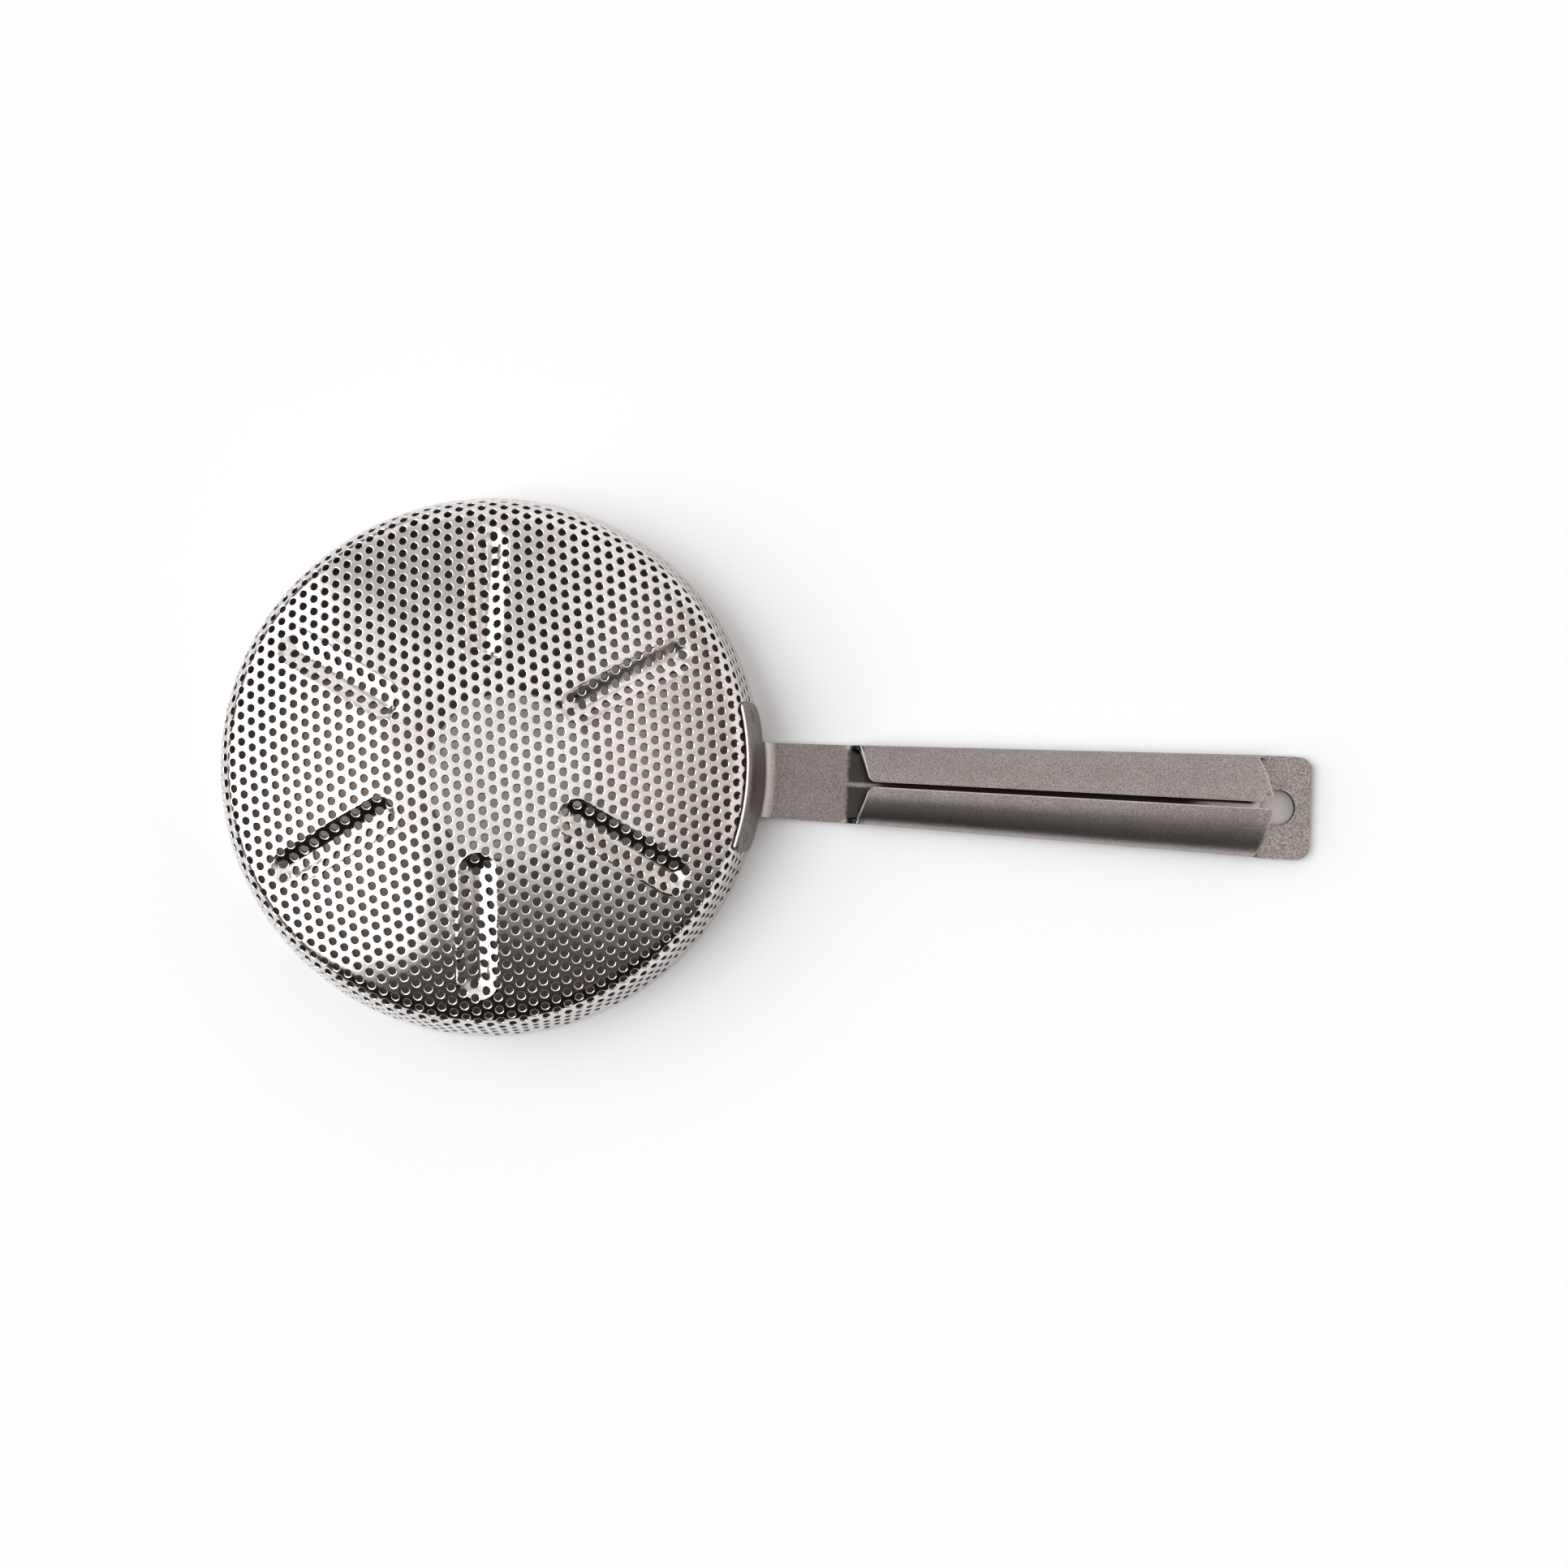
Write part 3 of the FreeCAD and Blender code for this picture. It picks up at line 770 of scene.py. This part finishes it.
class Nodes:
    """Short ways to add shader nodes and join them up."""

    def __init__(self, tree):
        self.tree = tree

    def add(self, kind, inputs=None, **settings):
        node = self.tree.nodes.new("ShaderNode" + kind)
        for key, value in settings.items():
            setattr(node, key, value)
        for key, value in (inputs or {}).items():
            if isinstance(value, bpy.types.NodeSocket):
                self.tree.links.new(value, node.inputs[key])
            else:
                node.inputs[key].default_value = value
        return node

    def math(self, operation, *values):
        return self.add("Math", dict(enumerate(values)), operation=operation).outputs[0]

    def ramp(self, value, start, end, low=0.0, high=1.0):
        """Goes smoothly from low to high as value goes from start to end."""
        sockets = {"Value": value, "From Min": start, "From Max": end, "To Min": low, "To Max": high}
        return self.add("MapRange", sockets, interpolation_type="SMOOTHSTEP").outputs[0]

    def along_grip(self, x, start, end):
        """A measure that changes evenly between the grip's ends."""
        made = self.ramp(x, GRIP_START, GRIP_END, start, end)
        made.node.interpolation_type = "LINEAR"
        return made

    def product(self, *values):
        return functools.reduce(lambda a, b: self.math("MULTIPLY", a, b), values)

    def total(self, *values):
        return functools.reduce(lambda a, b: self.math("ADD", a, b), values)

    def less(self, value, taken):
        return self.math("SUBTRACT", value, taken)

    def size(self, value):
        return self.math("ABSOLUTE", value)

    def length(self, a, b):
        """Length of the vector (a, b)."""
        return self.math("SQRT", self.total(self.product(a, a), self.product(b, b)))

    def mix(self, share, first, second):
        """Colour between two colours."""
        return self.add("Mix", {0: share, 6: first, 7: second}, data_type="RGBA").outputs[2]

    def layers(self, colour, shares_and_tones):
        """Colour after each tone has been laid over it in turn, by its share."""
        for share, tone in shares_and_tones:
            colour = self.mix(share, colour, tone)
        return colour

    def place(self, stretch=(1.0, 1.0, 1.0)):
        """Object coordinates in millimetres, stretched."""
        coordinates = self.add("TexCoord").outputs["Object"]
        scale = tuple(1.0 / MM / s for s in stretch)
        return self.add("VectorMath", {0: coordinates, 1: scale}, operation="MULTIPLY").outputs[0]

    def axes(self, vector):
        return self.add("SeparateXYZ", {0: vector}).outputs

    def noise(self, vector, size, detail=2.0, roughness=0.5):
        """Cloudy value whose features are about size across."""
        sockets = {"Vector": vector, "Scale": 1.0 / size, "Detail": detail, "Roughness": roughness}
        return self.add("TexNoise", sockets).outputs["Fac"]

    def bump(self, height, strength, distance):
        sockets = {"Height": height, "Strength": strength, "Distance": distance * MM}
        return self.add("Bump", sockets).outputs[0]


def shader(name, metallic=1.0):
    material = bpy.data.materials.new(name)
    material.use_nodes = True
    surface = material.node_tree.nodes["Principled BSDF"]
    surface.inputs["Metallic"].default_value = metallic
    return material, Nodes(material.node_tree), surface


def join(nodes, surface, **sockets):
    """Links values to the surface's sockets, whose names have underscores for spaces here."""
    for name, value in sockets.items():
        nodes.tree.links.new(value, surface.inputs[name.replace("_", " ")])


def groove_distance(nodes, x, y):
    """Distance of a place on the dome from the middle line of the nearest groove."""
    spacing = 2 * math.pi / len(GROOVE_TURNS)
    turn = nodes.less(nodes.math("ARCTAN2", y, x), GROOVE_TURNS[0])
    nearest = nodes.product(nodes.math("ROUND", nodes.math("DIVIDE", turn, spacing)), spacing)
    off = nodes.less(turn, nearest)
    radius = nodes.length(x, y)
    along = nodes.product(radius, nodes.math("COSINE", off))
    across = nodes.product(radius, nodes.math("SINE", off))
    held = nodes.math("MINIMUM", nodes.math("MAXIMUM", along, GROOVE_START), GROOVE_END)
    return nodes.length(nodes.less(along, held), across)


def polished_steel():
    """Bright drawn sheet: a fine haze, small specks, and puckers and a raised line round each groove."""
    material, nodes, steel = shader("polished_steel")
    place = nodes.place()
    x, y, _ = nodes.axes(place)
    haze = nodes.noise(place, 6.0, 3.0)
    specks = nodes.noise(place, 0.35, 2.0)
    grain = nodes.noise(place, 0.5, 2.0)
    puckers = nodes.noise(place, 1.6, 2.0)
    distance = groove_distance(nodes, x, y)
    near_groove = nodes.product(nodes.ramp(distance, PUCKER_REACH, 2.8),
                                nodes.ramp(distance, 0.6, 2.2, 0.35, 1.0))
    line = nodes.product(nodes.ramp(distance, LINE_START, LINE_TOP),
                         nodes.ramp(distance, LINE_END, LINE_TOP))
    height = nodes.total(nodes.product(line, nodes.ramp(puckers, 0.25, 0.6), 1.4),
                         nodes.product(puckers, near_groove, 1.1), nodes.product(grain, 0.06))
    colour = nodes.mix(nodes.ramp(haze, 0.35, 0.65), (0.66, 0.635, 0.62, 1), (0.73, 0.71, 0.70, 1))
    worn = nodes.mix(nodes.ramp(specks, 0.62, 0.75), colour, (0.5, 0.47, 0.45, 1))
    rough = nodes.total(nodes.ramp(haze, 0.3, 0.7, 0.07, 0.12), nodes.ramp(specks, 0.5, 0.75, 0.0, 0.05))
    join(nodes, steel, Base_Color=worn, Roughness=rough, Normal=nodes.bump(height, 1.0, 0.05))
    return material


def dull_steel_with_painted_shade():
    """The bowl's inner side and the hole walls: dull from punching and drawing, and coloured dark as
    painted shade inside the bowl.
    """
    material, nodes, steel = shader("dull_steel_with_painted_shade")
    place = nodes.place()
    clouds = nodes.noise(place, 1.2, 3.0)
    # painted shade: the dark colour stands in for the shade inside the bowl that the holes show
    colour = nodes.mix(nodes.ramp(clouds, 0.3, 0.7), (0.14, 0.125, 0.12, 1), (0.24, 0.22, 0.21, 1))
    join(nodes, steel, Base_Color=colour, Roughness=nodes.ramp(clouds, 0.3, 0.7, 0.35, 0.5),
         Normal=nodes.bump(clouds, 0.3, 0.02))
    return material


def hollow_shade_share(nodes, x, y, z):
    """1 under the curled sides, for painted shade in the hollow; 0 along their middle near the grip's
    ends, which light through the slit reaches, and outside.
    """
    half = nodes.along_grip(x, GRIP_HALF_START - INSIDE, GRIP_HALF_END - INSIDE)
    off_middle = nodes.size(y)
    side = nodes.math("DIVIDE", off_middle, half)
    lift = nodes.math("MAXIMUM", nodes.less(z, HANDLE_LIFT + FOLD_RADIUS), 0.0)
    rise = nodes.math("DIVIDE", lift, nodes.product(half, CURL_RATIO))
    oval = nodes.total(nodes.product(side, side), nodes.product(rise, rise))
    in_run_out = nodes.math("MAXIMUM", nodes.ramp(off_middle, 5.9, 5.3), nodes.ramp(z, 1.12, 1.25))
    run_out = nodes.product(nodes.ramp(x, GRIP_START + 0.7, GRIP_START + 0.3), in_run_out)
    within = nodes.math("MAXIMUM", nodes.ramp(oval, 1.04, 0.98), run_out)
    above = nodes.ramp(z, 0.6, 0.8)
    ragged = nodes.product(nodes.less(nodes.noise(nodes.place(), 0.8), 0.5), 0.8)
    begun = nodes.ramp(nodes.total(x, ragged), 54.7, 55.5)
    ended = nodes.ramp(nodes.total(x, ragged), 119.6, 118.2)
    open_middle = nodes.math("MAXIMUM", nodes.ramp(x, 61.0, 59.0), nodes.ramp(x, 108.0, 113.0))
    middle = nodes.product(nodes.ramp(off_middle, 0.50, 0.15), open_middle)
    return nodes.product(within, above, begun, ended, nodes.less(1.0, middle))


def bend_highlight_share(nodes, x, y, z):
    """Up to 0.6 in the bend from saddle to neck: a painted highlight, fading with grain."""
    radius = nodes.length(x, y)
    ragged = nodes.product(nodes.less(nodes.noise(nodes.place(), 0.35, 3.0, 0.7), 0.5), 1.2)
    fading = nodes.ramp(nodes.total(radius, ragged), 44.2, 42.9, 0.0, 0.60)
    return nodes.product(nodes.ramp(radius, 42.2, 42.6), fading,
                         nodes.ramp(z, 3.4, 2.4), nodes.ramp(z, 0.9, 1.05))


def saddle_edge_shade_and_highlight(nodes, x, y, z):
    """1 where the saddle's upper edge meets the bowl, for a painted shadow in the gap, and 0.45 on the
    edge's rounding, for a painted highlight.
    """
    out, up = nodes.less(nodes.length(x, y), KNUCKLE_R), nodes.less(z, KNUCKLE_Z)
    reach = nodes.length(out, up)
    angle = nodes.math("ARCTAN2", up, out)
    at_top = nodes.ramp(angle, SADDLE_TOP_ANGLE - 0.03, SADDLE_TOP_ANGLE - 0.01)
    crevice_shadow = nodes.product(at_top, nodes.ramp(reach, SADDLE_RADIUS + 0.14, SADDLE_RADIUS + 0.08))
    top_edge_highlight = nodes.product(nodes.ramp(angle, SADDLE_TOP_ANGLE - 0.06, SADDLE_TOP_ANGLE - 0.02),
                             nodes.ramp(reach, SADDLE_RADIUS + 0.18, SADDLE_RADIUS + 0.26, 0.0, 0.45),
                             nodes.ramp(reach, SADDLE_RADIUS + 0.52, SADDLE_RADIUS + 0.40))
    return crevice_shadow, top_edge_highlight


def flap_edge_distances(nodes, x, y):
    """Lengths along X from a place on a curled side to its slanted edge at each end, inwards positive."""
    half = nodes.along_grip(x, GRIP_HALF_START, GRIP_HALF_END)
    near_slit = nodes.math("DIVIDE", nodes.size(y), half)
    away = nodes.less(1.0, near_slit)
    distances = []
    for start, slant, corner, inward in ((GRIP_START, *CURL_START, 1), (GRIP_END, *CURL_END, -1)):
        short = nodes.math("MAXIMUM", nodes.total(nodes.product(near_slit, -GRIP_HALF_START), corner), 0.0)
        drop = nodes.math("SQRT", nodes.total(nodes.product(short, short, -1.0), corner ** 2))
        reach = nodes.total(nodes.product(away, slant), nodes.product(drop, -inward), inward * corner)
        distances.append(nodes.product(nodes.less(x, nodes.total(reach, start)), inward))
    return distances


def edge_highlight_share(nodes, x, y, z):
    """Up to 1 along the edges of the curled sides: a painted highlight."""
    first, last = flap_edge_distances(nodes, x, y)
    raised = nodes.ramp(z, 2.2, 2.6)
    begin = nodes.product(nodes.ramp(first, 0.22, 0.10),
                          nodes.ramp(x, 61.0, 60.0), nodes.ramp(x, 55.0, 56.0))
    finish = nodes.product(nodes.ramp(last, 0.20, 0.08, 0.0, 0.28), nodes.ramp(x, 114.0, 115.0))
    slit = nodes.ramp(x, GRIP_START, GRIP_END, SLIT_HALF_START, SLIT_HALF_END)
    beside = nodes.less(nodes.product(y, -1.0), slit)
    along = nodes.product(nodes.ramp(beside, 0.22, 0.10), nodes.ramp(beside, -0.4, -0.3, 0.0, 0.35),
                          nodes.ramp(x, 58.0, 59.0))
    return nodes.product(raised, nodes.math("MAXIMUM", along, nodes.math("MAXIMUM", begin, finish)))


def weld_marks(nodes, place):
    """What each welding electrode left: 1 on its ring, and 0.7 in the spot at its middle."""
    mirrored = nodes.add("VectorMath", {0: place, 1: (1, -1, 1)}, operation="MULTIPLY").outputs[0]
    rings = []
    for side in (place, mirrored):
        between = nodes.add("VectorMath", {0: side, 1: weld_middle()}, operation="DISTANCE")
        distance = between.outputs["Value"]
        ring = nodes.product(nodes.ramp(distance, 0.62, 0.78), nodes.ramp(distance, 0.98, 0.82))
        rings.append(nodes.math("MAXIMUM", ring, nodes.ramp(distance, 0.28, 0.12, 0.0, 0.7)))
    return nodes.math("MAXIMUM", *rings)


def tumbled_steel():
    """Sheet dulled by tumbling: grainy, browner and coarser towards the tab, with light scratches.

    Painted shade, painted highlights and painted light are laid over it by where they are on the handle.
    """
    material, nodes, steel = shader("tumbled_steel")
    ramp, product = nodes.ramp, nodes.product
    place = nodes.place()
    x, y, z = nodes.axes(place)
    grain = nodes.noise(place, 0.17, 3.0, 0.7)
    coarse = nodes.noise(place, 0.30, 4.0, 0.75)
    clouds = nodes.noise(place, 4.0, 3.0)
    on_tab = ramp(x, 114.0, 121.0)
    even = nodes.mix(ramp(grain, 0.30, 0.70), (0.135, 0.120, 0.115, 1), (0.47, 0.43, 0.42, 1))
    brown = nodes.mix(ramp(coarse, 0.33, 0.66), (0.13, 0.105, 0.094, 1), (0.56, 0.51, 0.495, 1))
    # painted shade: darker near the bowl, whose shadow falls on the saddle and neck, fading along the grip
    painted_bowl_shade = nodes.total(ramp(x, 56.0, 58.0, 0.42, 0.12), ramp(x, 58.0, 100.0, 0.0, -0.12))
    across = nodes.math("DIVIDE", y, ramp(x, GRIP_START, GRIP_END, GRIP_HALF_START, GRIP_HALF_END))
    before_end = ramp(x, 119.5, 118.5)
    # painted shade on the curled side towards -Y, which faces the dark front
    lower_side_shade = product(ramp(across, -0.22, -0.50), ramp(across, -0.99, -0.84),
                   ramp(x, GRIP_START - 0.5, GRIP_START + 0.5, 0.0, 0.60),
                   ramp(x, 60.0, GRIP_END, 1.0, 0.45), before_end)
    # painted highlight along the fold of the -Y curled side, standing in for the reflected floor
    fold_highlight = product(ramp(across, -0.80, -0.93, 0.0, 0.25), ramp(x, 57.5, 58.5), before_end)
    streaks = nodes.noise(nodes.place((9.0, 0.16, 0.16)), 1.0, 2.0)
    scratches = product(ramp(streaks, 0.64, 0.72), ramp(x, 108.0, 114.0, 0.12, 1.0))
    # painted light: the grip's floor near the tab, lit through the slit
    slit_light = product(ramp(x, 104.0, 116.0), ramp(x, 120.5, 119.5),
                           ramp(nodes.size(y), 1.1, 0.7), ramp(z, 1.8, 1.4))
    hollow_shade = hollow_shade_share(nodes, x, y, z)
    # painted shade in the hollows under the curled sides
    painted_hollow_shade = nodes.mix(ramp(x, 58.0, 64.0), (0.045, 0.041, 0.038, 1), (0.018, 0.016, 0.015, 1))
    # painted shade where the sheet's edges rise at the grip's start
    run_out_shade = product(ramp(x, 55.2, 55.8), ramp(x, 57.2, 57.0),
                           ramp(nodes.size(y), 5.05, 5.2), ramp(z, 1.15, 1.3))
    from_hole = nodes.length(nodes.less(x, HANG_HOLE_X), y)
    # painted shade on the wall of the hanging hole
    hole_wall_shade = product(ramp(from_hole, HANG_HOLE_RADIUS + 0.06, HANG_HOLE_RADIUS + 0.03),
                        ramp(z, 1.6, 1.4))
    # painted shadow in the gap under the saddle's top edge, and painted highlight on its rounding
    crevice_shadow, top_edge_highlight = saddle_edge_shade_and_highlight(nodes, x, y, z)
    colour = nodes.layers(nodes.mix(product(on_tab, 0.75), even, brown), (
        (ramp(clouds, 0.3, 0.75, 0.0, 0.22), (0.18, 0.16, 0.15, 1)),
        (painted_bowl_shade, (0.10, 0.088, 0.083, 1)),
        (lower_side_shade, (0.050, 0.043, 0.040, 1)),
        (fold_highlight, (0.72, 0.68, 0.66, 1)),
        (product(scratches, 0.45), (0.62, 0.59, 0.57, 1)),
        (product(weld_marks(nodes, place), 0.85), (0.05, 0.043, 0.040, 1)),
        (product(slit_light, 0.8), (0.80, 0.77, 0.76, 1)),
        (hollow_shade, painted_hollow_shade),
        (run_out_shade, NEAR_BLACK),
        # painted highlights on the bend and along the curled sides' edges
        (bend_highlight_share(nodes, x, y, z), (0.82, 0.79, 0.77, 1)),
        (edge_highlight_share(nodes, x, y, z), (0.85, 0.82, 0.80, 1)),
        (hole_wall_shade, (0.025, 0.021, 0.020, 1)),
        (top_edge_highlight, (0.90, 0.87, 0.85, 1)),
        (crevice_shadow, NEAR_BLACK)))
    rough = nodes.total(ramp(grain, 0.3, 0.7, 0.50, 0.38), product(hollow_shade, -0.14))
    pits = nodes.total(product(grain, 0.6), product(coarse, on_tab, 0.6))
    relief = product(pits, nodes.less(1.0, product(hollow_shade, 0.9)))
    join(nodes, steel, Base_Color=colour, Roughness=rough, Normal=nodes.bump(relief, 0.6, 0.03))
    return material


def edge_steel_worn_and_shaded():
    """The handle's sheet edges: rubbed bright, with painted shade where the folds flatten out."""
    material, nodes, steel = shader("edge_steel_worn_and_shaded")
    place = nodes.place()
    wear = nodes.noise(place, 0.9, 3.0)
    x, _, z = nodes.axes(place)
    colour = nodes.mix(nodes.ramp(wear, 0.35, 0.65), (0.40, 0.37, 0.36, 1), (0.74, 0.71, 0.69, 1))
    # painted shade on the edges where the folds flatten out at the grip's start
    bevel_run_out_shade = nodes.product(nodes.ramp(x, GRIP_START - 2.2, GRIP_START - 1.6),
                               nodes.ramp(x, GRIP_START + 0.6, GRIP_START + 0.3), nodes.ramp(z, 2.6, 2.2))
    colour = nodes.mix(bevel_run_out_shade, colour, (0.08, 0.072, 0.068, 1))
    join(nodes, steel, Base_Color=colour, Roughness=nodes.ramp(wear, 0.3, 0.7, 0.42, 0.28),
         Normal=nodes.bump(nodes.noise(place, 0.25), 0.3, 0.01))
    return material


def weld_steel():
    """Fused metal of the spot welds."""
    material, nodes, steel = shader("weld_steel")
    place = nodes.place()
    mottle = nodes.noise(place, 0.3, 3.0, 0.6)
    colour = nodes.mix(nodes.ramp(mottle, 0.35, 0.65), (0.26, 0.23, 0.21, 1), (0.50, 0.47, 0.45, 1))
    join(nodes, steel, Base_Color=colour, Roughness=nodes.ramp(mottle, 0.3, 0.7, 0.55, 0.40),
         Normal=nodes.bump(mottle, 0.5, 0.02))
    return material


# ---------------------------------------------------------------- stage

def camera():
    data = bpy.data.cameras.new("camera")
    data.lens = CAMERA_LENS
    made = bpy.data.objects.new("camera", data)
    made.location = Vector(CAMERA_PLACE) * MM
    made.rotation_euler = [math.radians(a) for a in CAMERA_TURN]
    bpy.context.scene.collection.objects.link(made)
    bpy.context.scene.camera = made


def floor():
    """Pale paper, with painted shade and painted light under the bowl and painted shadow under the hanging
    hole, which their holes show.
    """
    mesh = bpy.data.meshes.new("floor")
    corners = [(-1, -1, 0), (1, -1, 0), (1, 1, 0), (-1, 1, 0)]
    mesh.from_pydata([Vector(corner) * FLOOR_HALF for corner in corners], [], [(0, 1, 2, 3)])
    made = bpy.data.objects.new("floor", mesh)
    material, nodes, paper = shader("paper", 0.0)
    x, y, _ = nodes.axes(nodes.place())

    def distance(middle_x, middle_y, stretch_x=1.0, stretch_y=1.0):
        off_x = nodes.math("DIVIDE", nodes.less(x, middle_x), stretch_x)
        off_y = nodes.math("DIVIDE", nodes.less(y, middle_y), stretch_y)
        return nodes.length(off_x, off_y)

    # painted shade under the bowl, with painted pools of light: a pale one to the right, a brown one to
    # the left and a sharp round one near the middle
    shade = nodes.mix(nodes.ramp(y, 16.0, -14.0), (0.09, 0.08, 0.077, 1), (0.25, 0.225, 0.21, 1))
    painted_light_and_shade_under_bowl = nodes.layers(shade, (
        (nodes.ramp(distance(24.0, 7.0, 12.0, 20.0), 1.3, 0.3), (0.97, 0.90, 0.84, 1)),
        (nodes.ramp(distance(-22.0, -7.0, 13.0, 22.0), 1.3, 0.3), (0.66, 0.56, 0.50, 1)),
        (nodes.ramp(distance(2.97, -1.45), 13.1, 12.9), (0.90, 0.89, 0.885, 1))))
    # painted shadow of the tab on the floor inside the hanging hole, darker to the right
    painted_tab_shadow = nodes.mix(nodes.ramp(x, 122.0, 125.5), (0.72, 0.70, 0.70, 1), (0.46, 0.44, 0.44, 1))
    colour = nodes.layers(FLOOR_COLOUR, (
        (nodes.ramp(distance(0.0, 0.0), 40.8, 40.0), painted_light_and_shade_under_bowl),
        (nodes.ramp(distance(HANG_HOLE_X, 0.0), 3.6, 3.3), painted_tab_shadow)))
    join(nodes, paper, Base_Color=colour)
    paper.inputs["Roughness"].default_value = 0.9
    paper.inputs["Specular IOR Level"].default_value = 0.2
    made.data.materials.append(material)
    bpy.context.scene.collection.objects.link(made)


def world():
    """Studio light by direction: the parts of the room are laid over its pale ceiling in turn.

    Past the floor's edge the camera itself sees only a plain backdrop.
    """
    made = bpy.data.worlds.new("studio")
    bpy.context.scene.world = made
    made.use_nodes = True
    nodes = Nodes(made.node_tree)
    ramp, product = nodes.ramp, nodes.product
    x, y, z = nodes.axes(nodes.add("TexCoord").outputs["Generated"])
    far_wall = product(ramp(y, 0.28, 0.55), ramp(x, 0.22, -0.10))
    towards_front = nodes.total(product(y, -1.0), product(x, 0.05))
    slant = nodes.total(y, product(x, -0.35))
    glint = product(ramp(nodes.size(nodes.less(x, 0.27)), 0.12, 0.03),
                    ramp(nodes.size(nodes.total(slant, 0.72)), 0.022, 0.008))
    low_left = product(ramp(z, 0.24, 0.12), ramp(x, -0.30, -0.60))
    right_edge = nodes.total(x, product(y, 0.38))
    front_edge = nodes.total(y, product(x, -0.33))
    window = product(ramp(right_edge, -0.36, -0.52), ramp(y, 0.66, 0.49),
                     ramp(front_edge, -0.48, -0.22), ramp(z, 0.20, 0.30))
    seen_directly = nodes.add("LightPath").outputs["Is Camera Ray"]
    colour = nodes.layers((1.20, 1.155, 1.13, 1), (
        (ramp(x, 0.17, 0.62), (0.74, 0.68, 0.64, 1)),     # right wall, warm and duller
        (ramp(x, 0.62, 0.86), (1.15, 1.07, 1.01, 1)),     # its brighter foot
        (far_wall, (0.68, 0.645, 0.635, 1)),
        (ramp(y, 0.66, 0.82), (1.15, 1.10, 1.09, 1)),     # its brighter foot
        (ramp(towards_front, 0.08, 0.54), (0.10, 0.088, 0.085, 1)),
        (ramp(towards_front, 0.56, 0.66), NEAR_BLACK),
        (glint, (0.36, 0.19, 0.15, 1)),
        (low_left, (0.14, 0.125, 0.12, 1)),
        (window, (5.2, 5.15, 5.1, 1)),
        (seen_directly, BACKDROP_COLOUR)))
    join(nodes, made.node_tree.nodes["Background"], Color=colour)


def main():
    piece("basket_sheet", basket_mesh(), "basket", "polished_steel",
          polished_steel(), dull_steel_with_painted_shade())
    handle = piece("handle_sheet", handle_mesh(), "handle", "tumbled_steel",
                   tumbled_steel(), edge_steel_worn_and_shaded())
    soften_edges(handle)
    frame["nodes"]["spot_welds"].data.materials.clear()
    frame["nodes"]["spot_welds"].data.materials.append(weld_steel())
    camera()
    floor()
    world()
    bpy.context.scene.view_settings.view_transform = "Standard"


main()
